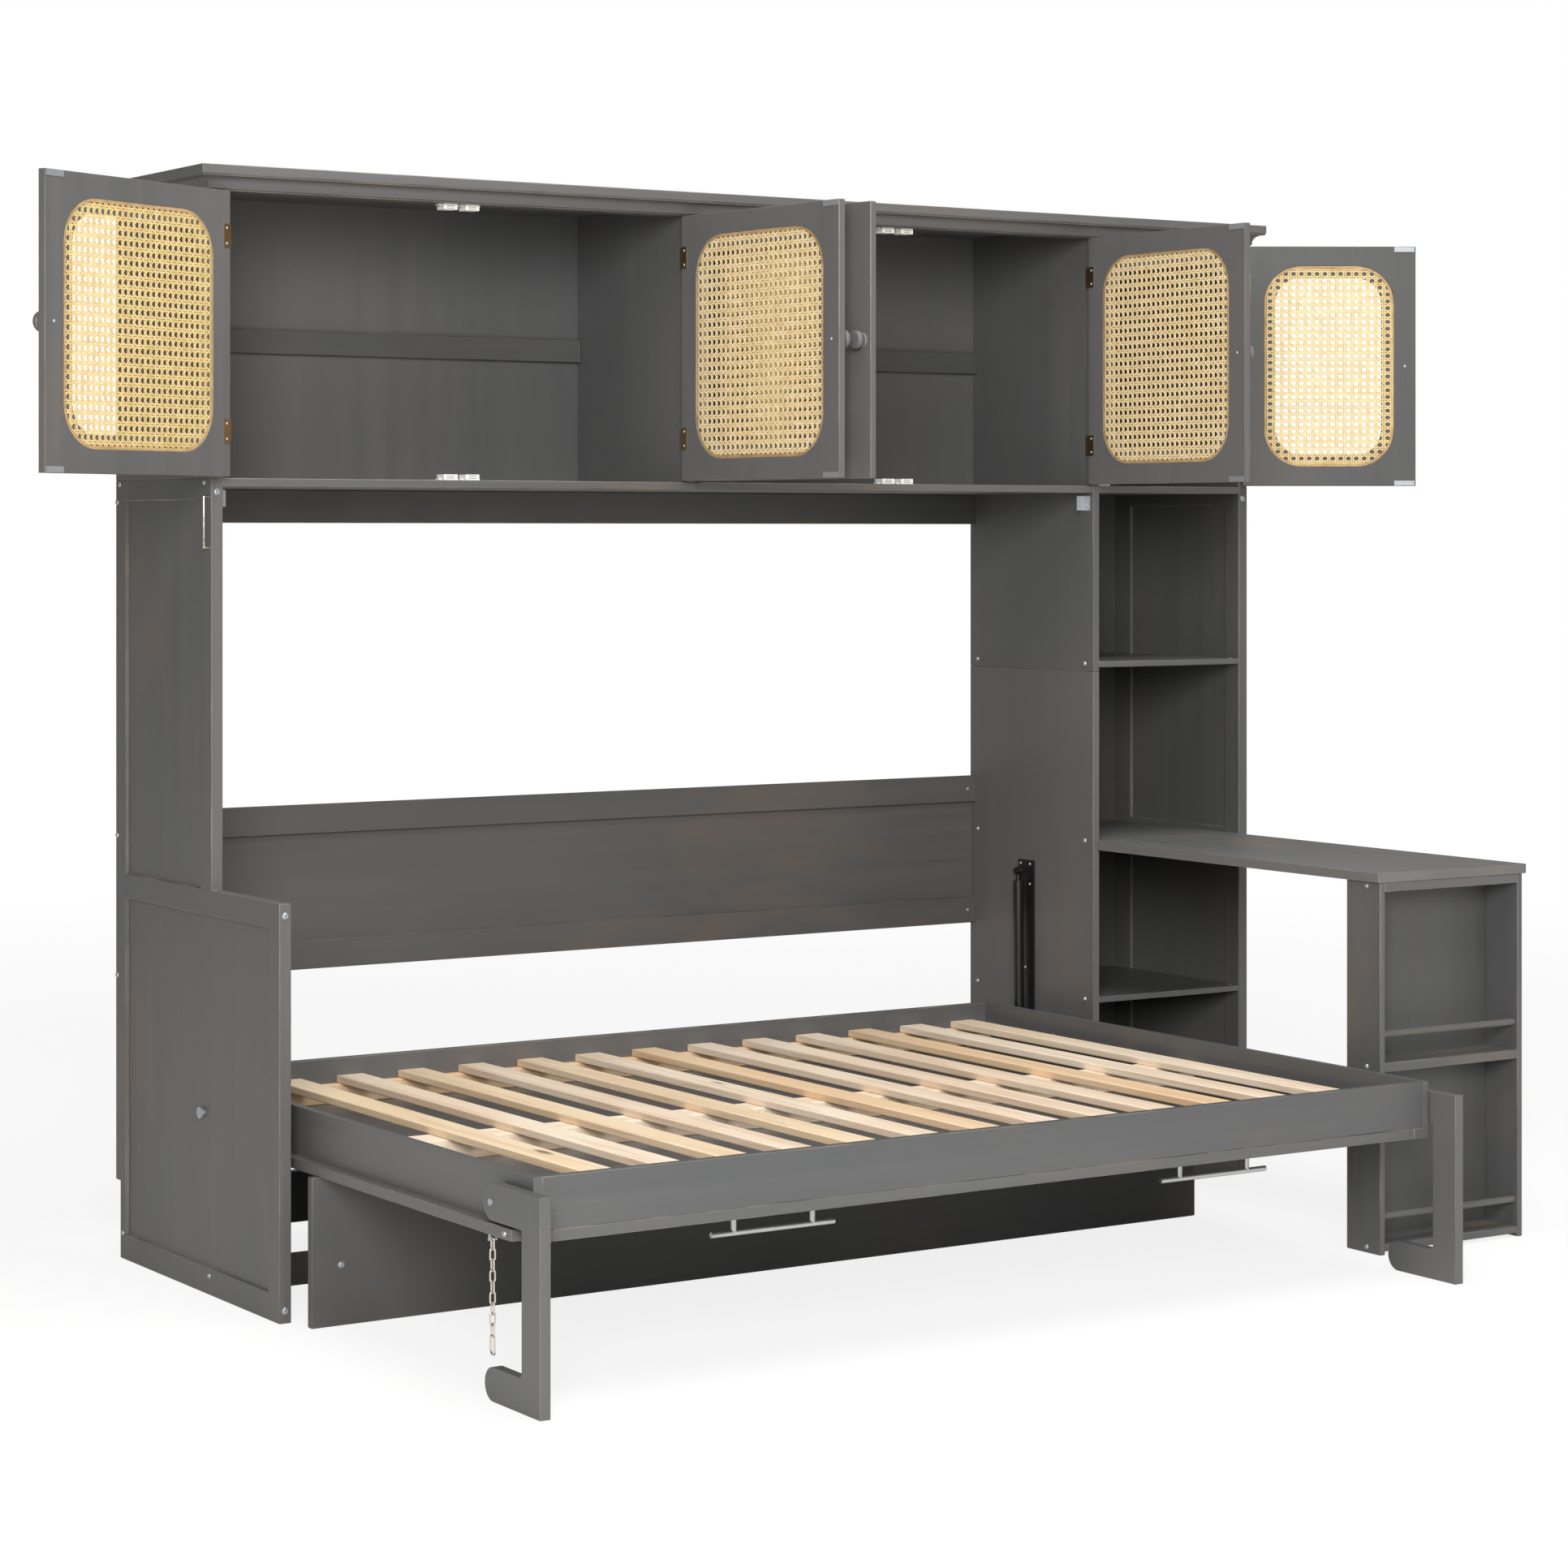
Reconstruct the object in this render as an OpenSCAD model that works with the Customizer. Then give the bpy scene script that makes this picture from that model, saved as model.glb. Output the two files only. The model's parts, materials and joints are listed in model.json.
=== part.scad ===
// A bed that folds up into a wall cabinet, with a shelf tower and a fixed desk beside it.
// Spans are measured from the left panel's outer face, out from the wall and up from the floor.
// The origin is on the floor under the middle of the plinth rail, and the front faces -Y.

/* [Cabinet] */
// Width over the two side panels
cabinet_w = 2517; // [2490:1:2560]
// Depth of the upper cabinet
cabinet_d = 458; // [450:1:470]
// Depth of the left panel below its step
step_d = 757; // [745:1:775]
// Height of the left panel's step
step_h = 760; // [752:1:770]
// Thickness of the side panels
panel_t = 24; // [22:1:25]
// Thickness of the tower wall and the dividers
wall_t = 17; // [15:1:18]
// Clear width of the tower
tower_w = 394; // [380:1:400]
// Underside of the cupboards' floor
box_floor_z = 1518; // [1516:1:1530]
// Thickness of the cupboards' floor
floor_t = 16; // [14:1:18]
// Clear height of the cupboards
box_h = 568; // [560:1:590]
// Thickness of the top board
top_t = 18; // [16:1:22]
// How far the top board stands out to the front and sides
top_lip = 31; // [30:1:40]
// Thickness of the back panels
back_t = 10; // [6:1:12]
// Width of the side panels' stiles
stile_w = 49; // [45:1:55]
// Depth of the recessed fields in the panels
field_in = 6; // [4:1:8]
// Height of the plinth rail
plinth_h = 60; // [50:1:60]
// Thickness of the rear rails and the plinth rail
rail_t = 20; // [16:1:22]

/* [Tower and desk] */
// Thickness of the tower shelves
shelf_t = 13; // [12:1:16]
// Top of the low shelf
low_shelf_z = 417; // [380:1:440]
// Top of the high shelf
high_shelf_z = 1150; // [1100:1:1180]
// Top of the desk
desk_z = 757; // [740:1:758]
// Thickness of the desk board
desk_t = 19; // [16:1:22]
// How far the desk stands out from the wall
desk_d = 1362; // [1300:1:1400]
// Depth of the bookcase leg
case_d = 99; // [90:1:140]
// Thickness of the bookcase leg's sides
case_t = 13; // [12:1:16]
// Diameter of the bookcase leg's rods
case_rod_d = 14; // [10:1:16]

/* [Doors] */
// Thickness of the doors
door_t = 15; // [14:1:18]
// Gap round a closed door
door_gap = 2; // [2:0.5:3]
// Gap between the two doors of a cupboard
door_meet = 5; // [3:0.5:8]
// Width of a door's stiles up to the cane
door_stile = 49; // [45:1:55]
// Width of a door's rails up to the cane
door_rail = 44; // [40:1:50]
// Corner radius of the cane
cane_r = 83; // [70:1:90]
// How far the cane laps onto the door round its opening
cane_lap = 26; // [20:1:30]
// Spacing of the openings across the cane
cane_dx = 30; // [28:1:40]
// Spacing of the openings up the cane
cane_dz = 33; // [30:1:40]
// Diameter of a knob
knob_d = 37; // [34:1:40]
// Height of a hinge leaf
hinge_h = 44; // [40:1:50]

/* [Bed] */
// Width of the bed out from the wall
bed_w = 1434; // [1430:1:1436]
// Gap between the left panel and the bed
bed_gap = 44; // [43:1:46]
// Gap between the bed and the tower wall
bed_gap_right = 58; // [56:1:60]
// How far the bed reaches behind its pivot
bed_tail = 265.5; // [262:0.5:267]
// Thickness of the bed's rails
bed_rail_t = 16; // [14:1:18]
// Underside of the bed's rails
bed_rail_z = 291.5; // [290:0.5:293]
// Height of the bed's rails
bed_rail_h = 88; // [84:1:90]
// Thickness of the panel under the bed
under_t = 20; // [18:1:20]
// How far the lips stand out beside the bed
lip_w = 22; // [20:1:24]
// Number of wide slats
slats = 13; // [11:1:14]
// Width of a slat
slat_w = 60; // [50:1:64]
// Thickness of a slat
slat_t = 15; // [14:1:18]
// Distance of the pivot behind the cabinet's front
pivot_in = 46.5; // [45:0.5:48]
// Height of the pivot
pivot_z = 337.3; // [336:0.1:339]
// Diameter of the pivot bolts
pivot_bolt_d = 12; // [10:1:14]
// Distance from the pivot to the front of the leaf under the bed
leaf_reach = 413.5; // [405:0.5:425]
// Thickness of the leaf under the bed
leaf_t = 17; // [15:1:20]
// Length of the bar handles
handle_l = 250; // [200:1:300]

/* [Legs, springs and chain] */
// Thickness of the folding legs
leg_t = 20; // [18:1:20]
// Distance of the legs' pivots behind the bed's front
leg_in = 94.5; // [90:0.5:98]
// Width of the legs' arms
leg_arm = 62; // [56:1:63]
// How far the legs stand out in front of the bed
leg_out = 69; // [66:1:74]
// Diameter of a gas spring's cylinder
cylinder_d = 22; // [18:1:24]
// Diameter of a gas spring's rod
spring_rod_d = 10; // [8:1:10]
// Height of a gas spring's upper stud
stud_z = 676; // [665:0.5:685]
// Distance of a gas spring's upper stud behind the cabinet's front
stud_in = 245; // [240:1:250]
// Number of chain links
links = 8; // [6:1:8]
// Diameter of the chain's wire
wire_d = 3; // [2.5:0.5:3.5]

/* [Hidden] */
$fn = 48;

wood = "#5b5955";
wood_dark = "#4a4846";
pine = "#dcc6a0";
cane_tan = "#d9bd86";
zinc = "#b9bcc0";
black = "#1c1c1e";
brass = "#b08a52";

// main planes of the cabinet
tower_in_right = cabinet_w - panel_t;
tower_in_left = tower_in_right - tower_w;
bay_right = tower_in_left - wall_t;
panel_top = box_floor_z + floor_t;
box_top_z = panel_top + box_h;
bay_mid = (panel_t + bay_right) / 2;
divider_x = bay_mid - wall_t / 2;
plinth_mid = cabinet_d - rail_t / 2;
skirting_h = 152;
skirting_d = 22.5;
wall_joint_z = 1127.6;
panel_rail_z = step_h - 48;
panel_foot_z = 51;
panel_head_z = box_floor_z - 24;
outer_stile_w = 67;
outer_foot_z = 81;
outer_rail_h = 57;

// rear rails and the framed panel behind the bed
head_rail_h = 67;
low_rail_z = 35;
low_rail_h = 104;
hang_rail_up = 259;
hang_rail_h = 48;
hang_rail_t = 15;
rear_panel_z = 543;
rear_panel_h = 334;
rear_rail_h = 58;
rear_field = [2, 8];
stud_head_r = 4;
stud_head_h = 2.5;
stud_head_in = 22;

// cornice
cornice_h = 25;
cornice_out = 29;

// fittings of the cabinet
bracket_w = 20;
bracket_l = 24;
bracket_h = 32;
bracket_t = 2;
bracket_in = 10;
bracket_drop = 6;
catch_gap = 0.8;
catch_w = 30;
catch_h = 11;
catch_l = 29;
catch_ear = 6.5;
catch_ear_t = 3;
catch_ear_l = 14;
catch_pitch = 24;
catch_shift = 4;
strike_l = 45;
strike_h = 11;
strike_t = 1.2;
staple_d = cabinet_d - 11;
staple_z = box_floor_z - 115;
staple_h = 96;
staple_out = 10;
staple_r = 2.5;

// doors
top_rail_h = 28;
top_rail_d = 48;
hinge_to_door = 3.5;
hinge_d = cabinet_d + hinge_to_door;
knuckle_r = 2.9;
pin_r = 1.5;
pin_gap = 0.05;
leaf_gauge = 1.2;
door_start = 3;
door_z = panel_top + door_gap;
door_h = box_h - top_rail_h - 2 * door_gap;
door_w = (divider_x - panel_t - door_meet) / 2 - door_start;
tower_door_w = tower_w - door_start - door_gap;
door_hinge_x = [panel_t, divider_x, divider_x + wall_t, bay_right, tower_in_right];
door_side = [1, -1, 1, -1, -1];
door_width = [door_w, door_w, door_w, door_w, tower_door_w];
door_open = [154, 95.5, 80, 92, 148];
hinge_inset = 85;
hinge_wing = 19;
rebate = 3;
net_t = 1.2;
spline_w = 6;
cane_hole = 17;
knob_reach = 23;
knob_foot_r = 14;
knob_foot_h = 4;
knob_neck_r = 8;
knob_head_h = 14;

// bed
bed_x0 = panel_t + bed_gap;
bed_x1 = bay_right - bed_gap_right;
bed_mid = (bed_x0 + bed_x1) / 2;
pivot_d = cabinet_d - pivot_in;
bed_back = pivot_d - bed_tail;
bed_front = bed_back + bed_w;
under_z = bed_rail_z - under_t;
slat_z = bed_rail_z + 38.5;
slat_end = 38;
slat_pitch = (bed_x1 - bed_x0 - 2 * bed_rail_t - 6) / (slats + 1);
slat_last = bed_x1 - bed_rail_t - slat_end - slat_w;
beam_d = (bed_back + bed_front) / 2;
beam_w = 70;
ledger_w = 20;
lip_in = 36;
lip_from = bed_back + 354;
lip_to = bed_front - 35;
under_rim = 70;
leaf_d = pivot_d + leaf_reach;
leaf_x = [bed_x0 - 36, bed_x1 + 43];
leaf_bolt_in = 59;
leaf_bolt_z = 110;
handle_off = 485;
handle_d = bed_front - 45;
handle_drop = 31;
handle_bar_d = 10;
handle_stand = 80;
handle_stand_r = 5;
plate_t = 4;
plate_z = bed_rail_z + 8.5;
plate_h = 72;
angle_t = 3;
angle_l = 120;
angle_w = 30;
gusset_t = 4;
gusset_in = 10;
pivot_head = 5;
pivot_head_h = 4;
side_bolt_r = 5.5;
front_bolt_r = 7;
bolt_h = 3;
bolt_in = 23;

// legs
leg_gap = 6;
leg_top = bed_rail_z + 68;
leg_z = leg_top - leg_arm / 2;
leg_pivot_d = bed_front - leg_in;
leg_front = bed_front + leg_out;
leg_pin_r = 4;
leg_head_r = 6;
leg_head_h = 3.4;
leg_play = 0.6;
leg_tail = 31;
leg_foot = 57;
leg_toe = 4;
leg_fillet = 10;
leg_x = [bed_x0 - leg_gap - leg_t, bed_x1 + leg_gap];

// gas springs, each swinging on its stud and sliding along its own axis
stud_d = cabinet_d - stud_in;
spring_foot_d = bed_back + 71;
spring_foot_z = bed_rail_z + 38.5;
spring_run = spring_foot_d - stud_d;
spring_drop = stud_z - spring_foot_z;
spring_tilt = atan2(spring_run, spring_drop);
spring_len = sqrt(spring_run * spring_run + spring_drop * spring_drop);
spring_off = 22;
spring_x = [panel_t + spring_off, bay_right - spring_off];
eye_w = 10;
eye_r = 9;
stud_r = 4;
stud_l = 8;
nut_r = 7;
nut_h = 3;
neck_l = 22;
neck_r = 5;
cylinder_l = 290;
spring_plate_w = 57;
spring_plate_z = bed_rail_z + 8.5;
spring_plate_over = 24;
spring_plate_in = 24;

// chain
chain_x = bed_x0 - 12;
chain_d = leg_pivot_d - 22.5;
chain_z = under_z - 9.5;
link_l = 24;
link_w = 12;
link_pitch = link_l - 2 * wire_d - 0.1;
hook_w = 16;
hook_l = 32;
eye_bar_r = 2;
eye_half = 6;

// bookcase leg
case_x = [tower_in_left + 1, tower_in_right - 9];
case_front = desk_d - 1;
case_back = case_front - case_d;
case_top = desk_z - desk_t;
case_back_t = 6;
case_foot = 7;
case_shelf_t = [15, 18];
case_shelf_z = [case_foot, case_top / 2 - 7];
case_rail = [16, 19];
case_rod_up = [53, 56];
case_rod_in = 12;
desk_over = [5, 1];

// Everything is drawn from the left rear corner, then set about the origin.
module placed() {
    translate([-bay_mid, plinth_mid, 0]) children();
}

// A board from its spans across, out from the wall and up
module board(across, out, up) {
    translate([across[0], -out[1], up[0]])
        cube([across[1] - across[0], out[1] - out[0], up[1] - up[0]]);
}

// A board that stands front to back, from an outline in distance from the wall and height
module upright(x, t) {
    translate([x, 0, 0]) mirror([0, 1, 0]) rotate([90, 0, 90]) linear_extrude(t) children();
}

// A round bar from x[0] to x[1], d from the wall and at height z
module cross_bar(x, d, z, r) {
    translate([x[0], -d, z]) rotate([0, 90, 0]) cylinder(h = x[1] - x[0], r = r);
}

// A round bar from out[0] to out[1] from the wall
module out_bar(x, out, z, r) {
    translate([x, -out[0], z]) rotate([90, 0, 0]) cylinder(h = out[1] - out[0], r = r);
}

// A bolt head on a face that looks left (side -1) or right (side 1)
module side_bolt(x, d, z, side = -1) {
    cross_bar(side < 0 ? [x - bolt_h, x] : [x, x + bolt_h], d, z, side_bolt_r);
}

module front_bolt(x, d, z) {
    out_bar(x, [d, d + bolt_h], z, front_bolt_r);
}

module rounded_window(w, h, r) {
    translate([r, 0]) square([w - 2 * r, h]);
    translate([0, r]) square([w, h - 2 * r]);
    for (x = [r, w - r], y = [r, h - r]) translate([x, y]) circle(r);
}

module side_panel_left() color(wood) placed() {
    difference() {
        upright(0, panel_t) polygon([[skirting_d, 0], [step_d, 0], [step_d, step_h],
            [cabinet_d, step_h], [cabinet_d, panel_top], [0, panel_top], [0, skirting_h],
            [skirting_d, skirting_h]]);
        for (x = [[-1, field_in], [panel_t - field_in, panel_t + 1]]) {
            board(x, [stile_w, step_d - stile_w], [panel_foot_z, panel_rail_z]);
            board(x, [stile_w, cabinet_d - stile_w], [step_h, panel_head_z]);
        }
        cross_bar([-1, panel_t + 1], pivot_d, pivot_z, pivot_bolt_d / 2 + pin_gap);
    }
}

module side_panel_right() color(wood) placed() {
    difference() {
        upright(tower_in_right, panel_t) polygon([[skirting_d, 0], [cabinet_d, 0],
            [cabinet_d, panel_top], [0, panel_top], [0, skirting_h], [skirting_d, skirting_h]]);
        for (x = [[tower_in_right - 1, tower_in_right + field_in],
                [cabinet_w - field_in, cabinet_w + 1]])
            for (z = [[outer_foot_z, panel_rail_z],
                    [panel_rail_z + outer_rail_h, panel_head_z]])
                board(x, [outer_stile_w, cabinet_d - stile_w], z);
    }
}

module tower_wall() color(wood) placed() {
    difference() {
        upright(bay_right, wall_t) polygon([[skirting_d, 0], [cabinet_d, 0],
            [cabinet_d, wall_joint_z], [0, wall_joint_z], [0, skirting_h],
            [skirting_d, skirting_h]]);
        cross_bar([bay_right - 1, tower_in_left + 1], pivot_d, pivot_z,
            pivot_bolt_d / 2 + pin_gap);
    }
    board([bay_right, tower_in_left], [0, cabinet_d], [wall_joint_z + 0.2, panel_top]);
}

module box_floors() color(wood) placed() {
    board([panel_t, bay_right], [0, cabinet_d], [box_floor_z, panel_top]);
    board([tower_in_left, tower_in_right], [0, cabinet_d], [box_floor_z, panel_top]);
}

module box_dividers() color(wood) placed() {
    for (x = [divider_x, bay_right])
        board([x, x + wall_t], [back_t, cabinet_d], [panel_top, box_top_z]);
}

module box_sides() color(wood) placed() {
    for (x = [0, tower_in_right])
        board([x, x + panel_t], [0, cabinet_d], [panel_top, box_top_z]);
}

module box_top() color(wood) placed() {
    board([-top_lip, cabinet_w + top_lip], [0, cabinet_d + top_lip],
        [box_top_z, box_top_z + top_t]);
}

// The cove under the top board: a fillet, a hollow and a bead
module cornice_profile() {
    difference() {
        union() {
            square([26, 22]);
            translate([0, 21]) square([29, 4]);
        }
        translate([26, 4]) circle(18);
        translate([8, -1]) square([30, 5]);
    }
}

// A length of cove that grows towards -Y, mitred at its far end and at its near one if asked
module cove_length(l, near) {
    intersection() {
        mirror([0, 1, 0]) translate([-cornice_out, 0, 0]) rotate([90, 0, 90])
            linear_extrude(l + 2 * cornice_out) cornice_profile();
        linear_extrude(cornice_h) polygon([[0, 0], [l, 0], [l + cornice_out, -cornice_out],
            [near ? -cornice_out : 0, -cornice_out]]);
    }
}

module cornice() color(wood) placed() translate([0, 0, box_top_z - cornice_h]) {
    translate([0, -cabinet_d, 0]) cove_length(cabinet_w, true);
    rotate([0, 0, -90]) cove_length(cabinet_d, false);
    translate([cabinet_w, 0, 0]) mirror([1, 0, 0]) rotate([0, 0, -90])
        cove_length(cabinet_d, false);
}

// Three short rails across the bays, which the closed doors' tops meet
module box_top_rail() color(wood) placed() {
    for (x = [[panel_t, divider_x], [divider_x + wall_t, bay_right],
            [tower_in_left, tower_in_right]])
        board(x, [cabinet_d - top_rail_d, cabinet_d], [box_top_z - top_rail_h, box_top_z]);
}

module box_back() color(wood_dark) placed() {
    board([panel_t, tower_in_right], [0, back_t], [panel_top, box_top_z]);
}

module tower_back() color(wood_dark) placed() {
    board([tower_in_left, tower_in_right], [0, back_t], [skirting_h, box_floor_z]);
}

module rear_rails() color(wood) placed() {
    board([panel_t, bay_right], [0, rail_t], [box_floor_z - head_rail_h, box_floor_z]);
    board([panel_t, bay_right], [skirting_d, skirting_d + rail_t],
        [low_rail_z, low_rail_z + low_rail_h]);
    z = panel_top + hang_rail_up;
    for (x = [[panel_t, divider_x], [divider_x + wall_t, bay_right]])
        board(x, [back_t, back_t + hang_rail_t], [z, z + hang_rail_h]);
}

module rear_panel() color(wood) placed() {
    difference() {
        board([panel_t, bay_right], [0, rail_t], [rear_panel_z, rear_panel_z + rear_panel_h]);
        for (out = [[-1, rear_field[0]], [rear_field[1], rail_t + 1]])
            board([panel_t - 1, bay_right + 1], out,
                [rear_panel_z + rear_rail_h, rear_panel_z + rear_panel_h - rear_rail_h]);
    }
}

module plinth_rail() color(wood) placed() {
    board([panel_t, bay_right], [cabinet_d - rail_t, cabinet_d], [0, plinth_h]);
}

module tower_shelves() color(wood) placed() {
    inside = [tower_in_left, tower_in_right];
    for (z = [low_shelf_z, high_shelf_z])
        board(inside, [back_t, cabinet_d], [z - shelf_t, z]);
    board(inside, [skirting_d, cabinet_d], [plinth_h, plinth_h + shelf_t]);
    board(inside, [cabinet_d - rail_t, cabinet_d], [0, plinth_h]);
}

// One board from inside the tower to past the bookcase leg
module desk_board() color(wood) placed() {
    z = [desk_z - desk_t, desk_z];
    board([tower_in_left, tower_in_right], [back_t, cabinet_d + 1], z);
    board([tower_in_left - desk_over[0], tower_in_right + desk_over[1]],
        [cabinet_d, desk_d], z);
}

module bookcase_sides() color(wood) placed() {
    for (x = [case_x[0], case_x[1] - case_t])
        board([x, x + case_t], [case_back, case_front], [0, case_top]);
}

module bookcase_back() color(wood_dark) placed() {
    board([case_x[0] + case_t, case_x[1] - case_t], [case_back, case_back + case_back_t],
        [case_foot, case_top]);
}

module bookcase_shelves() color(wood) placed() {
    inside = [case_x[0] + case_t, case_x[1] - case_t];
    for (i = [0, 1])
        board(inside, [case_back + case_back_t, case_front],
            [case_shelf_z[i], case_shelf_z[i] + case_shelf_t[i]]);
    board(inside, [case_front - case_rail[0], case_front], [case_top - case_rail[1], case_top]);
}

module bookcase_rods() color(wood) placed() {
    for (i = [0, 1])
        cross_bar([case_x[0] + case_t, case_x[1] - case_t], case_front - case_rod_in,
            case_shelf_z[i] + case_shelf_t[i] + case_rod_up[i], case_rod_d / 2);
}

// Steel angles in the top corners of the bed's recess, against which the raised bed stops
module corner_brackets() color(zinc) placed() {
    back = cabinet_d - bracket_in - bracket_l;
    up = [box_floor_z - bracket_drop - bracket_h, box_floor_z - bracket_drop];
    for (side = [0, 1]) {
        x0 = side == 0 ? panel_t : bay_right - bracket_w;
        xv = side == 0 ? panel_t : bay_right - bracket_t;
        board([x0, x0 + bracket_w], [back, back + bracket_t], up);
        board([xv, xv + bracket_t], [back, back + bracket_l], up);
    }
}

// A magnetic catch with two ears, on a face at height z that looks up (1) or down (-1)
module magnet_catch(x, z, up) {
    front = cabinet_d - door_t - 1.2 - catch_gap;
    heart = front - catch_l / 2 - 2;
    board([x - catch_w / 2, x + catch_w / 2], [front - catch_l, front],
        up > 0 ? [z, z + catch_h] : [z - catch_h, z]);
    board([x - catch_w / 2 - catch_ear, x + catch_w / 2 + catch_ear],
        [heart - catch_ear_l / 2, heart + catch_ear_l / 2],
        up > 0 ? [z, z + catch_ear_t] : [z - catch_ear_t, z]);
}

module magnet_catches() color("#e9e9e4") placed() {
    bay_centres = [(panel_t + divider_x) / 2, (divider_x + wall_t + bay_right) / 2];
    catch_x = [for (x = bay_centres, side = [-1, 1]) x + catch_shift + side * catch_pitch];
    for (x = concat(catch_x, [tower_in_left + catch_shift + catch_pitch])) {
        magnet_catch(x, panel_top, 1);
        magnet_catch(x, box_top_z - top_rail_h, -1);
    }
}

module cabinet_bolts() color(zinc) placed() {
    into_boxes = panel_top - floor_t / 2;
    for (p = [[rail_t, into_boxes], [cabinet_d - 32, into_boxes], [8, box_floor_z - 27],
            [8, rear_panel_z + rear_panel_h - 44], [8, rear_panel_z + 14],
            [skirting_d + 13.5, low_rail_z + 16], [cabinet_d - 9, plinth_h - 24]])
        side_bolt(0, p[0], p[1]);
    for (z = [wall_joint_z + 17, desk_z, low_shelf_z - shelf_t / 2], d = [28, cabinet_d - 30])
        side_bolt(bay_right, d, z);
    for (z = [bolt_in, step_h - bolt_in]) front_bolt(panel_t / 2, step_d, z);
    for (x = [panel_t / 2, cabinet_w - panel_t / 2]) front_bolt(x, cabinet_d, box_floor_z - 10);
    for (z = [case_foot + 5, case_shelf_z[1] + 8, case_top - 9])
        side_bolt(case_x[0], case_front - 40, z);
    for (x = [panel_t + stud_head_in, bay_right - stud_head_in],
            z = [rear_panel_z + rear_rail_h / 2, rear_panel_z + rear_panel_h - rear_rail_h / 2])
        out_bar(x, [rail_t, rail_t + stud_head_h], z, stud_head_r);
}

// Half of a butt hinge about the upright pin at the origin, on a face in the plane x = face.
// The middle knuckle is on the door, the outer two and the pin are on the cabinet.
module hinge_half(face, reach, moving) {
    third = hinge_h / 3;
    knuckle = moving ? [[third + 0.3, third - 0.6]] : [[0, third], [2 * third, third]];
    difference() {
        union() {
            translate([face, knuckle_r + 0.3, 0]) cube([leaf_gauge, reach, hinge_h]);
            for (k = knuckle) translate([0, 0, k[0]]) {
                cylinder(h = k[1], r = knuckle_r);
                translate([face, 0, 0]) cube([leaf_gauge, knuckle_r + 1, k[1]]);
            }
        }
        if (moving) translate([0, 0, -1]) cylinder(h = hinge_h + 2, r = pin_r + pin_gap);
    }
    if (!moving) translate([0, 0, third - 0.1]) cylinder(h = third + 0.2, r = pin_r);
}

module hinge_place(i) {
    translate([door_hinge_x[i], -hinge_d, door_z])
        mirror([door_side[i] > 0 ? 0 : 1, 0, 0]) children();
}

module hinge_heights() {
    for (z = [hinge_inset - hinge_h / 2, door_h - hinge_inset - hinge_h / 2])
        translate([0, 0, z]) children();
}

module hinge_leaves() color(brass) placed() {
    for (i = [0 : 4]) hinge_place(i) hinge_heights() hinge_half(0, 26, false);
}

// Black channels on the cabinet that carry the gas springs' studs
module spring_plates() color(black) placed() {
    for (side = [0, 1]) {
        face = side == 0 ? [panel_t - field_in, panel_t + plate_t]
            : [bay_right - plate_t, bay_right];
        inner = side == 0 ? face[1] : face[0];
        lean = side == 0 ? 1 : -1;
        board(face, [stud_d - spring_plate_in, stud_d - spring_plate_in + spring_plate_w],
            [spring_plate_z, stud_z + spring_plate_over]);
        stud = [inner, spring_x[side] + lean * (eye_w / 2 + 0.6)];
        cross_bar([min(stud), max(stud)], stud_d, stud_z, stud_r);
        nut = [stud[1], stud[1] + lean * nut_h];
        cross_bar([min(nut), max(nut)], stud_d, stud_z, nut_r);
    }
}

// Bolts through the cabinet into the bed's rails, with a spacer sleeve in each gap
module pivot_bolts() color(zinc) placed() {
    r = pivot_bolt_d / 2;
    for (x = [[0, bed_x0 + bed_rail_t - 2], [bed_x1 - bed_rail_t + 2, tower_in_left]])
        cross_bar(x, pivot_d, pivot_z, r);
    for (x = [[-pivot_head_h, 0], [panel_t - field_in, bed_x0 - plate_t - 1.5],
            [bed_x1 + plate_t + 1.5, bay_right], [tower_in_left, tower_in_left + pivot_head_h]])
        cross_bar(x, pivot_d, pivot_z, r + pivot_head);
}

// The staple on the left panel that takes the chain's hook when the bed is up
module chain_staple() color(zinc) placed() {
    for (z = [staple_z, staple_z + staple_h]) {
        cross_bar([-staple_out, 0], staple_d, z, staple_r);
        translate([-staple_out, -staple_d, z]) sphere(r = staple_r);
    }
    translate([-staple_out, -staple_d, staple_z]) cylinder(h = staple_h, r = staple_r);
}

module bed_side_rails() color(wood) placed() {
    for (x = [bed_x0, bed_x1 - bed_rail_t]) difference() {
        board([x, x + bed_rail_t], [bed_back, bed_front],
            [bed_rail_z, bed_rail_z + bed_rail_h]);
        cross_bar([x - 1, x + bed_rail_t + 1], pivot_d, pivot_z, pivot_bolt_d / 2 + pin_gap);
        cross_bar([x - 1, x + bed_rail_t + 1], leg_pivot_d, leg_z, leg_pin_r);
    }
}

module bed_end_rails() color(wood) placed() {
    for (d = [bed_back, bed_front - bed_rail_t])
        board([bed_x0 + bed_rail_t, bed_x1 - bed_rail_t], [d, d + bed_rail_t],
            [bed_rail_z, bed_rail_z + bed_rail_h]);
}

// The framed panel under the slats, which is the cabinet's front once the bed is up
module bed_underside() color(wood) placed() {
    x = [bed_x0 + lip_in, bed_x1 - lip_in];
    difference() {
        board(x, [bed_back, bed_front], [under_z, bed_rail_z]);
        for (field = [[x[0] + under_rim, bed_mid - under_rim / 2],
                [bed_mid + under_rim / 2, x[1] - under_rim]])
            for (out = [[bed_back + under_rim, leaf_d - leaf_t - under_rim],
                    [leaf_d + under_rim, bed_front - 2 * under_rim]])
                board(field, out, [under_z - 1, under_z + field_in]);
    }
}

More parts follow.
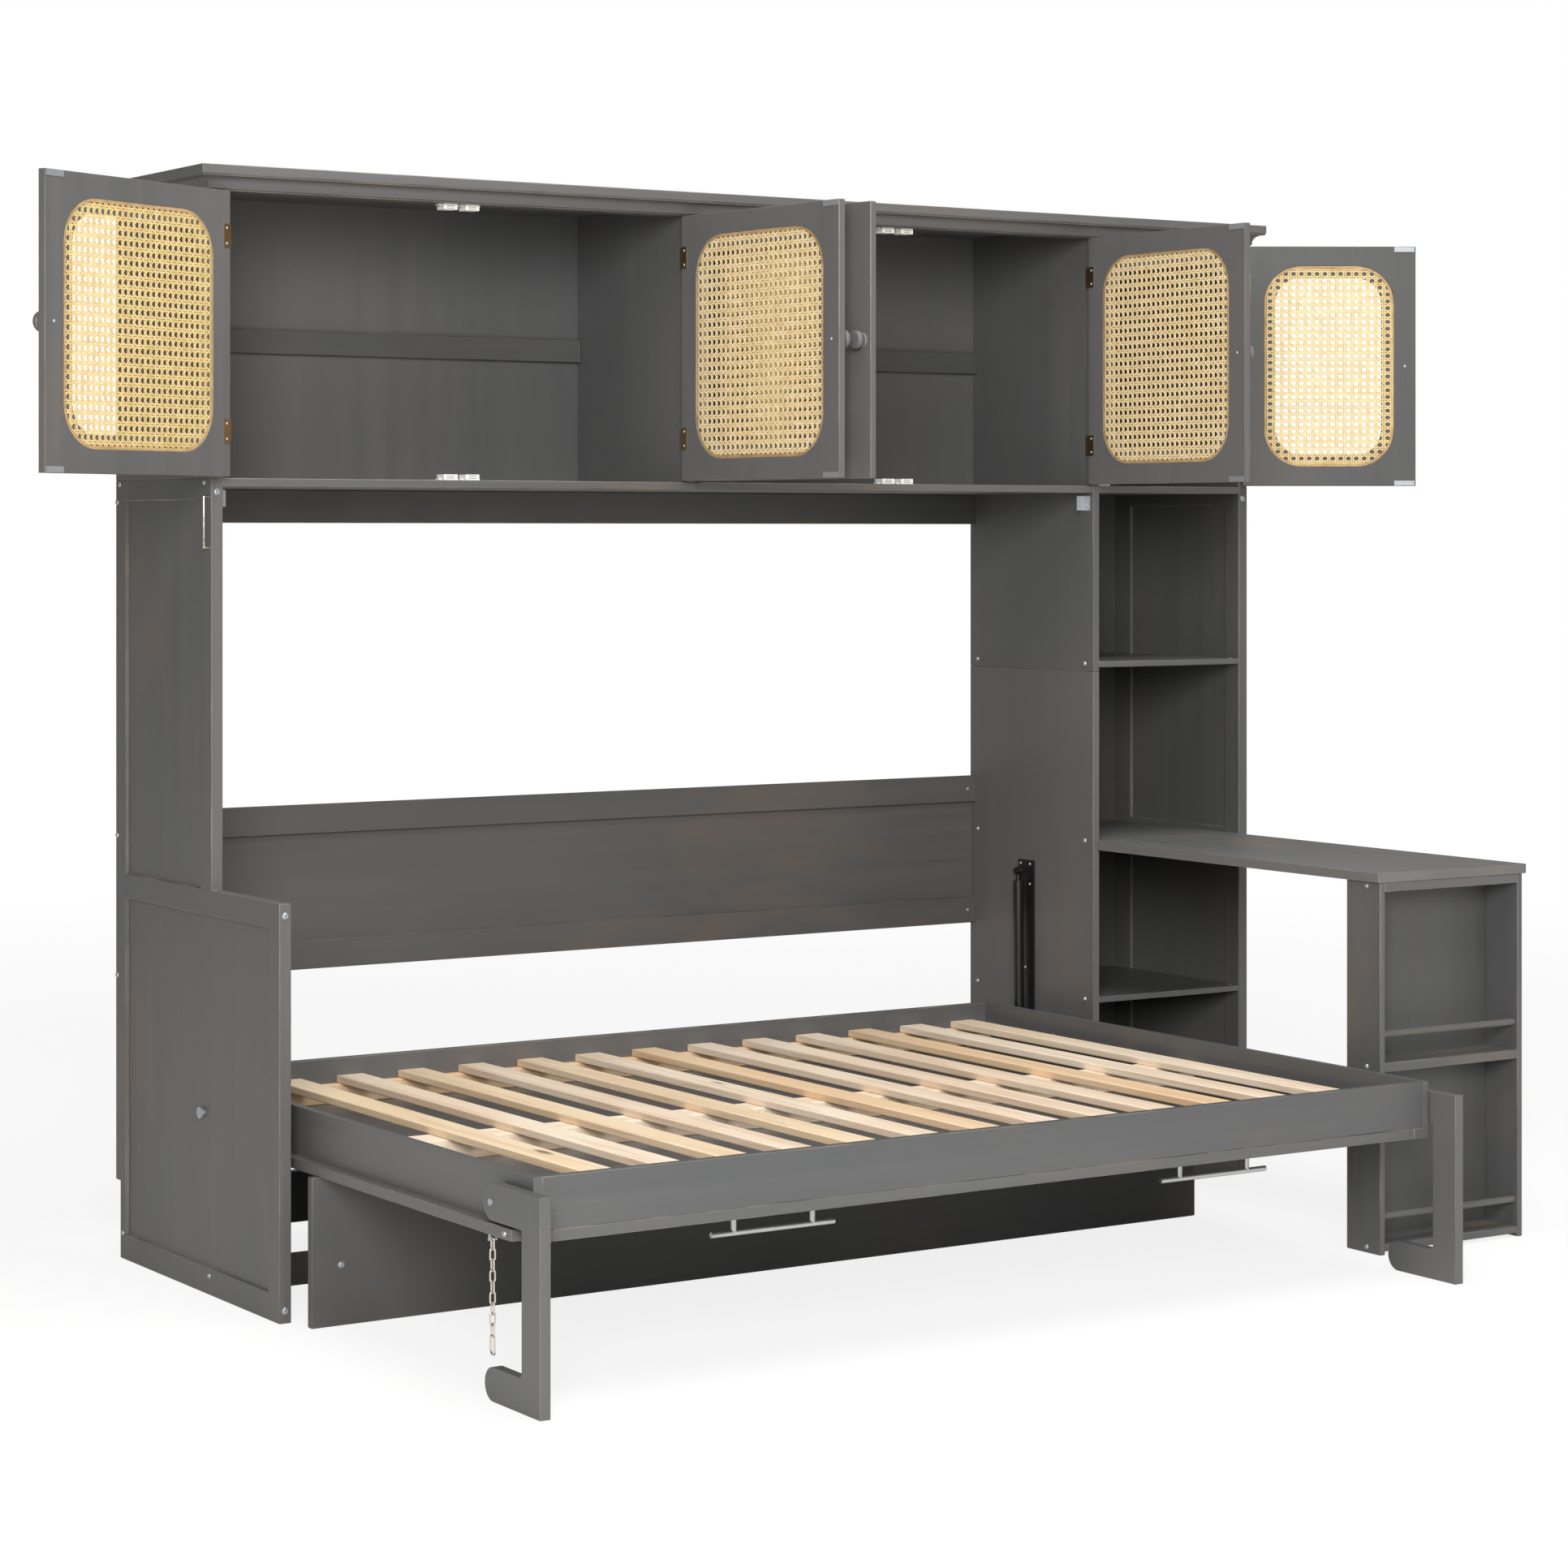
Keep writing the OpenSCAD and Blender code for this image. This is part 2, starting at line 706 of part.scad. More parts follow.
// The boards along the underside's ends, which stand out past the rails and are cut back in
// front to let the legs by
module bed_lips() color(wood) placed() {
    for (side = [0, 1]) {
        inner = side == 0 ? [bed_x0, bed_x0 + lip_in] : [bed_x1 - lip_in, bed_x1];
        outer = side == 0 ? [bed_x0 - lip_w, bed_x0 + 1] : [bed_x1 - 1, bed_x1 + lip_w];
        board(inner, [bed_back, bed_front], [under_z, bed_rail_z]);
        board(outer, [lip_from, lip_to], [under_z, bed_rail_z]);
    }
}

module bed_slats() color(pine) placed() {
    out = [bed_back + bed_rail_t, bed_front - bed_rail_t];
    for (i = [0 : slats - 1]) {
        x = slat_last - i * slat_pitch;
        board([x, x + slat_w], out, [slat_z, slat_z + slat_t]);
    }
    board([bed_x0 + bed_rail_t, bed_x0 + bed_rail_t + ledger_w], out,
        [slat_z, slat_z + slat_t]);
}

module slat_supports() color(pine) placed() {
    inside = [bed_x0 + bed_rail_t, bed_x1 - bed_rail_t];
    up = [bed_rail_z, slat_z];
    board(inside, [bed_back + bed_rail_t, bed_back + bed_rail_t + ledger_w], up);
    board(inside, [bed_front - bed_rail_t - ledger_w, bed_front - bed_rail_t], up);
    board(inside, [beam_d - beam_w / 2, beam_d + beam_w / 2], up);
}

// The board fixed across the bed's underside: it props the lowered bed, and folds out flat
// as the desk top once the bed is up
module desk_leaf() color(wood) placed() {
    board(leaf_x, [leaf_d - leaf_t, leaf_d], [0, under_z]);
}

module bar_handles() color(zinc) placed() {
    z = under_z - handle_drop;
    for (side = [-1, 1]) {
        x = bed_mid + side * handle_off;
        cross_bar([x - handle_l / 2, x + handle_l / 2], handle_d, z, handle_bar_d / 2);
        for (stand = [-handle_stand, handle_stand]) translate([x + stand, -handle_d, z])
            cylinder(h = handle_drop, r = handle_stand_r);
    }
}

// Black steel on the bed: the pivot plates with the springs' lower studs, and the angles
// that hold the leaf
module bed_pivot_plates() color(black) placed() {
    for (side = [0, 1]) {
        x = side == 0 ? bed_x0 - plate_t : bed_x1;
        difference() {
            board([x, x + plate_t], [spring_foot_d - 20, pivot_d + 30.5],
                [plate_z, plate_z + plate_h]);
            cross_bar([x - 1, x + plate_t + 1], pivot_d, pivot_z,
                pivot_bolt_d / 2 + pin_gap);
        }
        stud = side == 0 ? [x - stud_l, x] : [x + plate_t, x + plate_t + stud_l];
        cross_bar(stud, spring_foot_d, spring_foot_z, stud_r);
    }
    face = leaf_d - leaf_t;
    edge = face - angle_t;
    far = angle_l - gusset_in;
    for (x = [leaf_x[0] + 70, bed_mid - angle_w / 2, leaf_x[1] - 100]) {
        board([x, x + angle_w], [edge, face], [under_z - angle_l, under_z]);
        board([x, x + angle_w], [face - angle_l, edge], [under_z - angle_t, under_z]);
        upright(x + (angle_w - gusset_t) / 2, gusset_t) polygon([[edge, under_z - angle_t],
            [face - far, under_z - angle_t], [edge, under_z - far]]);
    }
}

// Leg pins, the eye of the chain and the heads of the lip and leaf bolts
module bed_bolts() color(zinc) placed() {
    pins = [[leg_x[0] - leg_play, bed_x0 + bed_rail_t - 2],
        [bed_x1 - bed_rail_t + 2, leg_x[1] + leg_t + leg_play]];
    heads = [[pins[0][0] - leg_head_h, pins[0][0]], [pins[1][1], pins[1][1] + leg_head_h]];
    for (i = [0, 1]) {
        cross_bar(pins[i], leg_pivot_d, leg_z, leg_pin_r);
        cross_bar(heads[i], leg_pivot_d, leg_z, leg_head_r);
    }
    for (side = [-1, 1])
        side_bolt(side < 0 ? bed_x0 - lip_w : bed_x1 + lip_w, lip_to - bolt_in,
            under_z + under_t / 2, side);
    for (x = [leaf_x[0] + leaf_bolt_in, leaf_x[1] - leaf_bolt_in])
        front_bolt(x, leaf_d, leaf_bolt_z);
    translate([chain_x, -chain_d, chain_z]) {
        for (x = [-eye_half, eye_half]) translate([x, 0, 0])
            cylinder(h = under_z - chain_z, r = eye_bar_r);
        rotate([0, 90, 0]) translate([0, 0, -eye_half - eye_bar_r])
            cylinder(h = 2 * (eye_half + eye_bar_r), r = eye_bar_r);
    }
}

// A folding leg: an arm between two bars in one board, with rounded tails
module leg(side) color(wood) placed() upright(leg_x[side], leg_t) difference() {
    inner = leg_front - leg_arm;
    toe = leg_pivot_d + leg_toe;
    union() {
        translate([leg_pivot_d, leg_z]) circle(leg_tail);
        translate([leg_pivot_d, leg_z - leg_arm / 2])
            square([leg_front - leg_pivot_d, leg_arm]);
        translate([inner, 0]) square([leg_arm, leg_top]);
        translate([toe, 0]) square([leg_front - toe, leg_foot]);
        translate([toe, leg_foot / 2]) circle(leg_foot / 2);
        translate([inner - leg_fillet, leg_foot]) square([leg_fillet + 1, leg_fillet]);
    }
    translate([inner - leg_fillet, leg_foot + leg_fillet]) circle(leg_fillet);
    translate([leg_pivot_d, leg_z]) circle(leg_pin_r + pin_gap);
}

// One welded link hanging from its upper crown's middle at the origin
module chain_link() {
    half = (link_w - wire_d) / 2;
    straight = link_l - link_w;
    rotate([90, 0, 0]) translate([0, -half - straight / 2, 0]) {
        for (flip = [0, 1]) mirror([0, flip, 0])
            translate([0, straight / 2, 0]) rotate_extrude(angle = 180)
                translate([half, 0]) circle(wire_d / 2);
        for (x = [-half, half]) translate([x, 0, 0]) rotate([90, 0, 0])
            cylinder(h = straight, r = wire_d / 2, center = true);
    }
}

module hook_chain() color(zinc) placed()
    translate([chain_x, -chain_d, chain_z + eye_bar_r + wire_d / 2 + 0.1]) {
    for (i = [0 : links - 1]) translate([0, 0, -i * link_pitch])
        rotate([0, 0, i % 2 == 0 ? 90 : 0]) chain_link();
    translate([0, 0, -links * link_pitch]) rotate([0, 0, links % 2 == 0 ? 90 : 0])
        snap_hook();
}

// A snap hook: a small eye over a longer closed body
module snap_hook() {
    half = hook_w / 2;
    bore = half - wire_d;
    chain_link();
    translate([0, 0, half - link_l - hook_l + wire_d]) rotate([90, 0, 0]) difference() {
        union() {
            cylinder(h = wire_d, r = half, center = true);
            translate([-half, 0, -wire_d / 2]) cube([hook_w, hook_l - half, wire_d]);
        }
        cylinder(h = 2 * wire_d, r = bore, center = true);
        translate([-bore, 0, -wire_d]) cube([2 * bore, hook_l - half - wire_d, 2 * wire_d]);
    }
}

// A gas spring's own axis, down from its upper stud
module spring_axis(side) {
    translate([spring_x[side], -stud_d, stud_z]) rotate([-spring_tilt, 0, 0]) children();
}

module spring_eye(r) {
    difference() {
        rotate([0, 90, 0]) cylinder(h = eye_w, r = eye_r, center = true);
        rotate([0, 90, 0]) cylinder(h = eye_w + 2, r = r, center = true);
    }
}

// The closed tube with its eye on top
module spring_cylinder(side) color(black) placed() spring_axis(side) {
    difference() {
        union() {
            translate([0, 0, -neck_l - cylinder_l])
                cylinder(h = cylinder_l, r = cylinder_d / 2);
            translate([0, 0, -neck_l - 1]) cylinder(h = neck_l - eye_r / 2, r = neck_r);
            rotate([0, 90, 0]) cylinder(h = eye_w, r = eye_r, center = true);
        }
        rotate([0, 90, 0]) cylinder(h = 2 * eye_w, r = stud_r + pin_gap, center = true);
        translate([0, 0, -neck_l - cylinder_l - 1])
            cylinder(h = cylinder_l - 7, r = spring_rod_d / 2 + pin_gap);
    }
}

// The rod, drawn up into the tube while the bed is down
module spring_rod(side) color(zinc) placed() spring_axis(side) {
    rod_l = spring_len - 40;
    translate([0, 0, -spring_len + eye_r - 2]) cylinder(h = rod_l - eye_r, r = spring_rod_d / 2);
    translate([0, 0, -spring_len]) spring_eye(stud_r + 0.5);
}

module door_place(i) {
    hinge_place(i) rotate([0, 0, -door_open[i]]) children();
}

// A flat outline in the door's plane, from its inner edge of thickness, growing outwards
module door_slab(from, t) {
    translate([0, from + t, 0]) rotate([90, 0, 0]) linear_extrude(t) children();
}

module cane_outline(i, inset) {
    translate([door_start + door_stile + inset, door_rail + inset])
        rounded_window(door_width[i] - 2 * door_stile - 2 * inset,
            door_h - 2 * door_rail - 2 * inset, cane_r - inset);
}

// The turned knob on the free stile: a foot, a neck and a rounded head
module knob() {
    round_r = knob_head_h / 2;
    rotate([90, 0, 0]) rotate_extrude() {
        square([knob_foot_r, knob_foot_h]);
        square([knob_neck_r, knob_reach - round_r]);
        translate([0, knob_reach - knob_head_h]) square([knob_d / 2 - round_r, knob_head_h]);
        translate([knob_d / 2 - round_r, knob_reach - round_r]) circle(round_r);
    }
}

module door_frame(i) color(wood) placed() door_place(i) {
    face = hinge_to_door;
    difference() {
        door_slab(face, door_t) translate([door_start, 0]) square([door_width[i], door_h]);
        door_slab(face - 1, door_t + 2) cane_outline(i, cane_lap);
        door_slab(face + door_t - rebate, rebate + 1) cane_outline(i, 0);
    }
    translate([door_start + door_width[i] - door_stile / 2, face, door_h / 2]) knob();
}

// The openings of the net that fall inside its round corners
module cane_holes(i) {
    w = door_width[i] - 2 * door_stile;
    h = door_h - 2 * door_rail;
    nx = floor((w / 2 - spline_w - cane_hole / 2) / cane_dx);
    nz = floor((h / 2 - spline_w - cane_hole / 2) / cane_dz);
    far = cane_r - spline_w - cane_hole / 2;
    for (ix = [-nx : nx], iz = [-nz : nz]) {
        px = max(abs(ix * cane_dx) - (w / 2 - cane_r), 0);
        pz = max(abs(iz * cane_dz) - (h / 2 - cane_r), 0);
        if (px * px + pz * pz < far * far)
            translate([door_start + door_width[i] / 2 + ix * cane_dx, door_h / 2 + iz * cane_dz])
                square(cane_hole, center = true);
    }
}

// The woven cane in its rebate, with the spline that holds its edge
module door_cane(i) color(cane_tan) placed() door_place(i) {
    inner = hinge_to_door + door_t - rebate;
    door_slab(inner, net_t) difference() {
        cane_outline(i, 0);
        cane_holes(i);
    }
    door_slab(inner + net_t, rebate - net_t) difference() {
        cane_outline(i, 0);
        cane_outline(i, spline_w);
    }
}

// The door's own hinge halves, which wrap onto its inner face, and the strike plates at its
// free corners
module door_hardware(i) color(brass) placed() door_place(i) {
    face = door_start - leaf_gauge;
    back = hinge_to_door + door_t;
    hinge_heights() {
        hinge_half(face, back + leaf_gauge - knuckle_r - 0.3, true);
        translate([face, back, 0]) cube([hinge_wing, leaf_gauge, hinge_h]);
    }
    for (z = [1, door_h - strike_h - 1])
        translate([door_start + door_width[i] - strike_l - 3, hinge_to_door + door_t, z])
            cube([strike_l, strike_t, strike_h]);
}

side_panel_left();
side_panel_right();
tower_wall();
box_floors();
box_dividers();
box_sides();
box_top();
cornice();
box_top_rail();
box_back();
tower_back();
rear_rails();
rear_panel();
plinth_rail();
tower_shelves();
desk_board();
bookcase_sides();
bookcase_back();
bookcase_shelves();
bookcase_rods();
corner_brackets();
magnet_catches();
cabinet_bolts();
hinge_leaves();
spring_plates();
pivot_bolts();
chain_staple();
bed_side_rails();
bed_end_rails();
bed_underside();
bed_lips();
bed_slats();
slat_supports();
desk_leaf();
bar_handles();
bed_pivot_plates();
bed_bolts();
leg(0);  // leg_left
leg(1);  // leg_right
hook_chain();
spring_cylinder(0);  // spring_cylinder_left
spring_cylinder(1);  // spring_cylinder_right
spring_rod(0);  // spring_rod_left
spring_rod(1);  // spring_rod_right
door_frame(0);  // door_1_frame
door_cane(0);  // door_1_cane
door_hardware(0);  // door_1_hardware
door_frame(1);  // door_2_frame
door_cane(1);  // door_2_cane
door_hardware(1);  // door_2_hardware
door_frame(2);  // door_3_frame
door_cane(2);  // door_3_cane
door_hardware(2);  // door_3_hardware
door_frame(3);  // door_4_frame
door_cane(3);  // door_4_cane
door_hardware(3);  // door_4_hardware
door_frame(4);  // door_5_frame
door_cane(4);  // door_5_cane
door_hardware(4);  // door_5_hardware
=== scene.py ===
import json
import math

import bmesh
import bpy
from mathutils import Matrix, Vector


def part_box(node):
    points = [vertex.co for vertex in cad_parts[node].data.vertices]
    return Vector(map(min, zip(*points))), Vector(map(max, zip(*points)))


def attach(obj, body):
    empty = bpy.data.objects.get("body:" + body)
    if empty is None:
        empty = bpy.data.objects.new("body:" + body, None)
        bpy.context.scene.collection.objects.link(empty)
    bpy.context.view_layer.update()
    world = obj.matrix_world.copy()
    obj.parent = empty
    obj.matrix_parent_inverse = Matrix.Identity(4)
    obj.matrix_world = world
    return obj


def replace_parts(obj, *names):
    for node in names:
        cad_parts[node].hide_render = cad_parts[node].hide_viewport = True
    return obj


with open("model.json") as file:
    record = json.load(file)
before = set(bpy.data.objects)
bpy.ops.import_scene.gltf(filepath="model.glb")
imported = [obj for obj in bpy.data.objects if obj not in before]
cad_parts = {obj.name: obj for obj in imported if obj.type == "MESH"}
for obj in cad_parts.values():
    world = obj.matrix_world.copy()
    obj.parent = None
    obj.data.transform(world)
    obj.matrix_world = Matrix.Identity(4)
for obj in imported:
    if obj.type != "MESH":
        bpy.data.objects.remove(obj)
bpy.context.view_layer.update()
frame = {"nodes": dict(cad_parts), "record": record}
behaviour = frame["record"]["behaviour"]
bodyOf = {node: body for body, nodes in behaviour["bodies"].items() for node in nodes}
print("frame loaded:", len(frame["nodes"]), "nodes")

# camera, solved from the cabinet's straight edges

camera = {
    "place": (-3.893, -6.3865, 1.4281),
    "turn": 32.86,  # degrees, to the right of the wall's normal
    "lens": 84.45,
    "sensor": 36,
    "shiftY": -0.1593,
    "reach": 200,
}


def makeCamera():
    data = bpy.data.cameras.new("camera")
    data.lens = camera["lens"]
    data.sensor_width = camera["sensor"]
    data.shift_y = camera["shiftY"]
    data.clip_end = camera["reach"]
    cam = bpy.data.objects.new("camera", data)
    cam.location = camera["place"]
    cam.rotation_euler = (math.radians(90), 0, math.radians(-camera["turn"]))
    bpy.context.collection.objects.link(cam)
    bpy.context.scene.camera = cam


makeCamera()
print("camera placed")

# shader maths


class Field:  # a shader value that Python's operators work on
    def __init__(self, finish, socket):
        self.finish = finish
        self.socket = socket

    def maths(self, operation, *values):
        return self.finish.node("ShaderNodeMath", {"operation": operation}, dict(enumerate(values)))

    def __add__(self, other):
        return self.maths("ADD", self, other)

    def __rsub__(self, other):
        return self.maths("SUBTRACT", other, self)

    def __mul__(self, other):
        return self.maths("MULTIPLY", self, other)

    def __abs__(self):
        return self.maths("ABSOLUTE", self)

    __radd__ = __add__
    __rmul__ = __mul__

    def ramp(self, low, high):  # 0 at low, 1 at high, smooth between
        return self.finish.node(
            "ShaderNodeMapRange",
            {"interpolation_type": "SMOOTHSTEP"},
            {"Value": self, "From Min": low, "From Max": high, "To Min": 0.0, "To Max": 1.0},
        )


class Finish:  # a material under construction
    def __init__(self, name):
        self.material = bpy.data.materials.new(name)
        self.material.use_nodes = True
        self.tree = self.material.node_tree
        self.tree.nodes.clear()
        self.coords = self.node("ShaderNodeTexCoord", {}, {}, "Object")

    def node(self, kind, settings, inputs, output=0):
        made = self.tree.nodes.new(kind)
        for key, value in settings.items():
            setattr(made, key, value)
        for key, value in inputs.items():
            socket = made.inputs[key]
            if isinstance(value, Field):
                self.tree.links.new(value.socket, socket)
            else:
                socket.default_value = value
        return None if output is None else Field(self, made.outputs[output])

    def stretched(self, scale, shift=(0, 0, 0)):
        return self.node(
            "ShaderNodeMapping", {}, {"Vector": self.coords, "Scale": scale, "Location": shift}
        )

    def noise(self, scale, detail=3.0, rough=0.5, twist=0.0, shift=(0, 0, 0)):
        inputs = {"Vector": self.stretched(scale, shift), "Scale": 1.0, "Detail": detail}
        inputs |= {"Roughness": rough, "Distortion": twist}
        return self.node("ShaderNodeTexNoise", {}, inputs)

    def grain(self, axis, across, along, detail, rough, twist=0.0, shift=(0, 0, 0)):
        scale = tuple(along if one == axis else across for one in "xyz")
        return self.noise(scale, detail, rough, twist, shift)

    def mix(self, factor, first, second):
        inputs = {0: factor, 6: first, 7: second}
        return self.node("ShaderNodeMix", {"data_type": "RGBA"}, inputs, 2)

    def sine(self, value):
        return value.maths("SINE", value)

    def axis(self, index):
        return self.node("ShaderNodeSeparateXYZ", {}, {0: self.coords}, index)

    def trait(self, name, index):  # one channel of a mesh's own colour layer
        layer = self.node("ShaderNodeAttribute", {"attribute_name": name}, {}, "Color")
        return self.node("ShaderNodeSeparateColor", {}, {0: layer}, index)

    def bump(self, height, strength, distance):
        return self.node(
            "ShaderNodeBump", {}, {"Height": height, "Strength": strength, "Distance": distance}
        )

    def close(self, **inputs):
        names = {"color": "Base Color", "rough": "Roughness"}
        names |= {"metal": "Metallic", "normal": "Normal"}
        shader = self.node(
            "ShaderNodeBsdfPrincipled", {}, {names[key]: value for key, value in inputs.items()}
        )
        out = self.tree.nodes.new("ShaderNodeOutputMaterial")
        self.tree.links.new(shader.socket, out.inputs["Surface"])
        return self.material


def srgb(text):  # a hex colour as the linear one that shaders use
    parts = [int(text[i : i + 2], 16) / 255 for i in (0, 2, 4)]
    return tuple(p / 12.92 if p < 0.04045 else ((p + 0.055) / 1.055) ** 2.4 for p in parts) + (1.0,)


# finishes

stain = {
    "dark": "505151",
    "light": "5f5e5d",
    "brown": "675c54",
    "worn": "8f8073",
    # grains: scale across and along, detail, roughness, distortion, shift
    "streak": (34, 0.9, 5.0, 0.55, 0.4),
    "fine": (170, 4.5, 4.0, 0.6, 0.2),
    "cloud": (1.7, 0.9, 2.0, 0.5, 0.2, (3, 7, 1)),
    "patch": (3.4, 1.6, 4.0, 0.6, 0.5, (11, 2, 5)),
    "rub": ((7, 7, 7), 5.0, 0.65),
    # where each begins and is full
    "toneRange": (0.32, 0.68),
    "patchRange": (0.54, 0.7),
    "rubRange": (0.42, 0.66),
    "streakRange": (0.3, 0.7),
    # how much of each
    "tone": {"streak": 0.3, "fine": 0.08, "cloud": 0.5, "board": 0.12},
    "patchShare": 0.75,
    "rubShare": 0.5,
    "relief": (0.6, 0.4),  # of the streaks, and of the fine grain
    "rough": (0.41, 0.1),  # least, and what the streaks add
    "bump": (0.16, 0.0006),
}


def shaded(text, shade):
    return tuple(c * shade for c in srgb(text)[:3]) + (1.0,)


def stainedWood(axis, shade=1.0):
    finish = Finish(f"stained-{axis}-{round(shade * 100)}")
    part = {name: finish.grain(axis, *stain[name]) for name in ("streak", "fine", "cloud", "patch")}
    part["board"] = finish.trait("wear", 1)
    tone = sum(part[name] * share for name, share in stain["tone"].items())
    # shade scales all four colours: below 1 it paints shade onto the board, above 1 it paints light
    dark, light, brown, worn = (shaded(stain[k], shade) for k in ("dark", "light", "brown", "worn"))
    body = finish.mix(tone.ramp(*stain["toneRange"]), dark, light)
    body = finish.mix(part["patch"].ramp(*stain["patchRange"]) * stain["patchShare"], body, brown)
    rubbed = finish.trait("wear", 0) * finish.noise(*stain["rub"]).ramp(*stain["rubRange"])
    color = finish.mix(rubbed * stain["rubShare"], body, worn)
    height = part["streak"] * stain["relief"][0] + part["fine"] * stain["relief"][1]
    least, more = stain["rough"]
    rough = part["streak"].ramp(*stain["streakRange"]) * more + least
    return finish.close(color=color, rough=rough, normal=finish.bump(height, *stain["bump"]))


pine = {
    "pale": "f0e0ca",
    "rosy": "e6cdb0",
    "yellow": "e9cb94",
    "orange": "dda873",
    "line": "b98c64",
    "knot": "6b4a33",
    # grains: scale across and along, detail, roughness, distortion, shift
    "figure": (27.2, 1.1, 4.0, 0.55, 1.2),
    "cloud": (6.8, 2.0, 3.0, 0.5, 0.3, (2, 5, 3)),
    "fine": (204, 5.4, 3.0, 0.6, 0.1),
    "spots": (8, 2.2),
    "rings": 8.0,  # dark lines per step of the figure
    "plies": 1800.0,  # radians per metre, through a slat's thickness
    # where each begins and is full
    "cloudRange": (0.35, 0.65),
    "yellowRange": (0.58, 0.7),
    "orangeRange": (0.9, 0.94),
    "ringRange": (0.8, 1.0),
    "fineRange": (0.5, 0.8),
    "knotRange": (0.03, 0.1),
    "plyRange": (0.2, 0.9),
    # how much of each
    "cloudShare": 0.7,
    "yellowShare": 0.38,
    "orangeShare": 0.3,
    "ringShare": 0.22,
    "fineShare": 0.15,
    "knotShare": 0.8,
    "edgeShare": 0.35,
    "plyShare": 0.35,
    "rough": (0.5, 0.2),  # least, and what the fine grain adds
    "bump": (0.2, 0.0006),
}


def paleWood(axis):
    finish = Finish(f"pine-{axis}")
    figure, cloud, fine = (finish.grain(axis, *pine[k]) for k in ("figure", "cloud", "fine"))
    board = finish.trait("wear", 1)
    across, along = pine["spots"]
    spread = finish.stretched(tuple(along if one == axis else across for one in "xyz"))
    inputs = {"Vector": spread, "Scale": 1.0}
    spots = finish.node("ShaderNodeTexVoronoi", {"feature": "F1"}, inputs, "Distance")
    rings = abs(finish.sine(figure * pine["rings"])).ramp(*pine["ringRange"]) * pine["ringShare"]
    lines = rings + fine.ramp(*pine["fineRange"]) * pine["fineShare"]
    knots = (1 - spots.ramp(*pine["knotRange"])) * pine["knotShare"]
    plies = finish.sine(finish.axis(2) * pine["plies"]).ramp(*pine["plyRange"])
    layers = (  # laid one over the other
        (cloud.ramp(*pine["cloudRange"]) * pine["cloudShare"], "rosy"),
        (board.ramp(*pine["yellowRange"]) * pine["yellowShare"], "yellow"),
        (board.ramp(*pine["orangeRange"]) * pine["orangeShare"], "orange"),
        (lines, "line"),
        (knots, "knot"),
        (finish.trait("wear", 0) * pine["edgeShare"], "rosy"),
        (plies * finish.trait("wear", 2) * pine["plyShare"], "line"),
    )
    color = srgb(pine["pale"])
    for share, name in layers:
        color = finish.mix(share, color, srgb(pine[name]))
    least, more = pine["rough"]
    return finish.close(
        color=color, rough=fine * more + least, normal=finish.bump(fine, *pine["bump"])
    )


reedLook = {
    "tone": (4.0, 0.6),  # detail, roughness
    "fine": (2.0, 0.5),
    "finer": 6,
    "toneRange": (0.3, 0.7),
    "shares": (0.7, 0.2),
    "rough": (0.42, 0.15),
    "bump": (0.2, 0.0003),
}


def reed(name, light, dark, scale=60):
    finish = Finish(name)
    tone = finish.noise((scale,) * 3, *reedLook["tone"])
    fine = finish.noise((scale * reedLook["finer"],) * 3, *reedLook["fine"])
    toneShare, fineShare = reedLook["shares"]
    share = tone.ramp(*reedLook["toneRange"]) * toneShare + fine * fineShare
    least, more = reedLook["rough"]
    return finish.close(
        color=finish.mix(share, srgb(light), srgb(dark)),
        rough=fine * more + least,
        normal=finish.bump(fine, *reedLook["bump"]),
    )


metalLook = {
    "lines": (3.0, 0.6),  # detail, roughness
    "cloud": ((25, 25, 25), 3.0, 0.5),
    "cloudRange": (0.3, 0.7),
    "cloudShare": 0.35,
    "dulled": 0.75,
    "spread": 0.12,
    "bump": (0.1, 0.0002),
}


def metal(name, color, rough, brushed=(80, 80, 80), pure=1.0):
    finish = Finish(name)
    lines = finish.noise(brushed, *metalLook["lines"])
    cloud = finish.noise(*metalLook["cloud"]).ramp(*metalLook["cloudRange"])
    dull = shaded(color, metalLook["dulled"])
    spread = metalLook["spread"]
    return finish.close(
        color=finish.mix(cloud * metalLook["cloudShare"], srgb(color), dull),
        metal=pure,
        rough=lines * spread + (rough - spread / 2),
        normal=finish.bump(lines, *metalLook["bump"]),
    )


blackEnamel = {
    "scale": 900,
    "colors": ("121213", "1d1d1f"),
    "share": 0.4,
    "rough": (0.28, 0.12),  # least, and what the speckle adds
    "bump": (0.08, 0.0002),
}
whitePlastic = {"scale": 400, "colors": ("efeee9", "dedcd4"), "share": 0.3, "rough": (0.35, 0.1)}


def speckled(name, look):
    finish = Finish(name)
    speckle = finish.noise((look["scale"],) * 3, 2.0)
    first, second = (srgb(text) for text in look["colors"])
    least, more = look["rough"]
    inputs = {"color": finish.mix(speckle * look["share"], first, second)}
    inputs["rough"] = speckle * more + least
    if "bump" in look:
        inputs["normal"] = finish.bump(speckle, *look["bump"])
    return finish.close(**inputs)


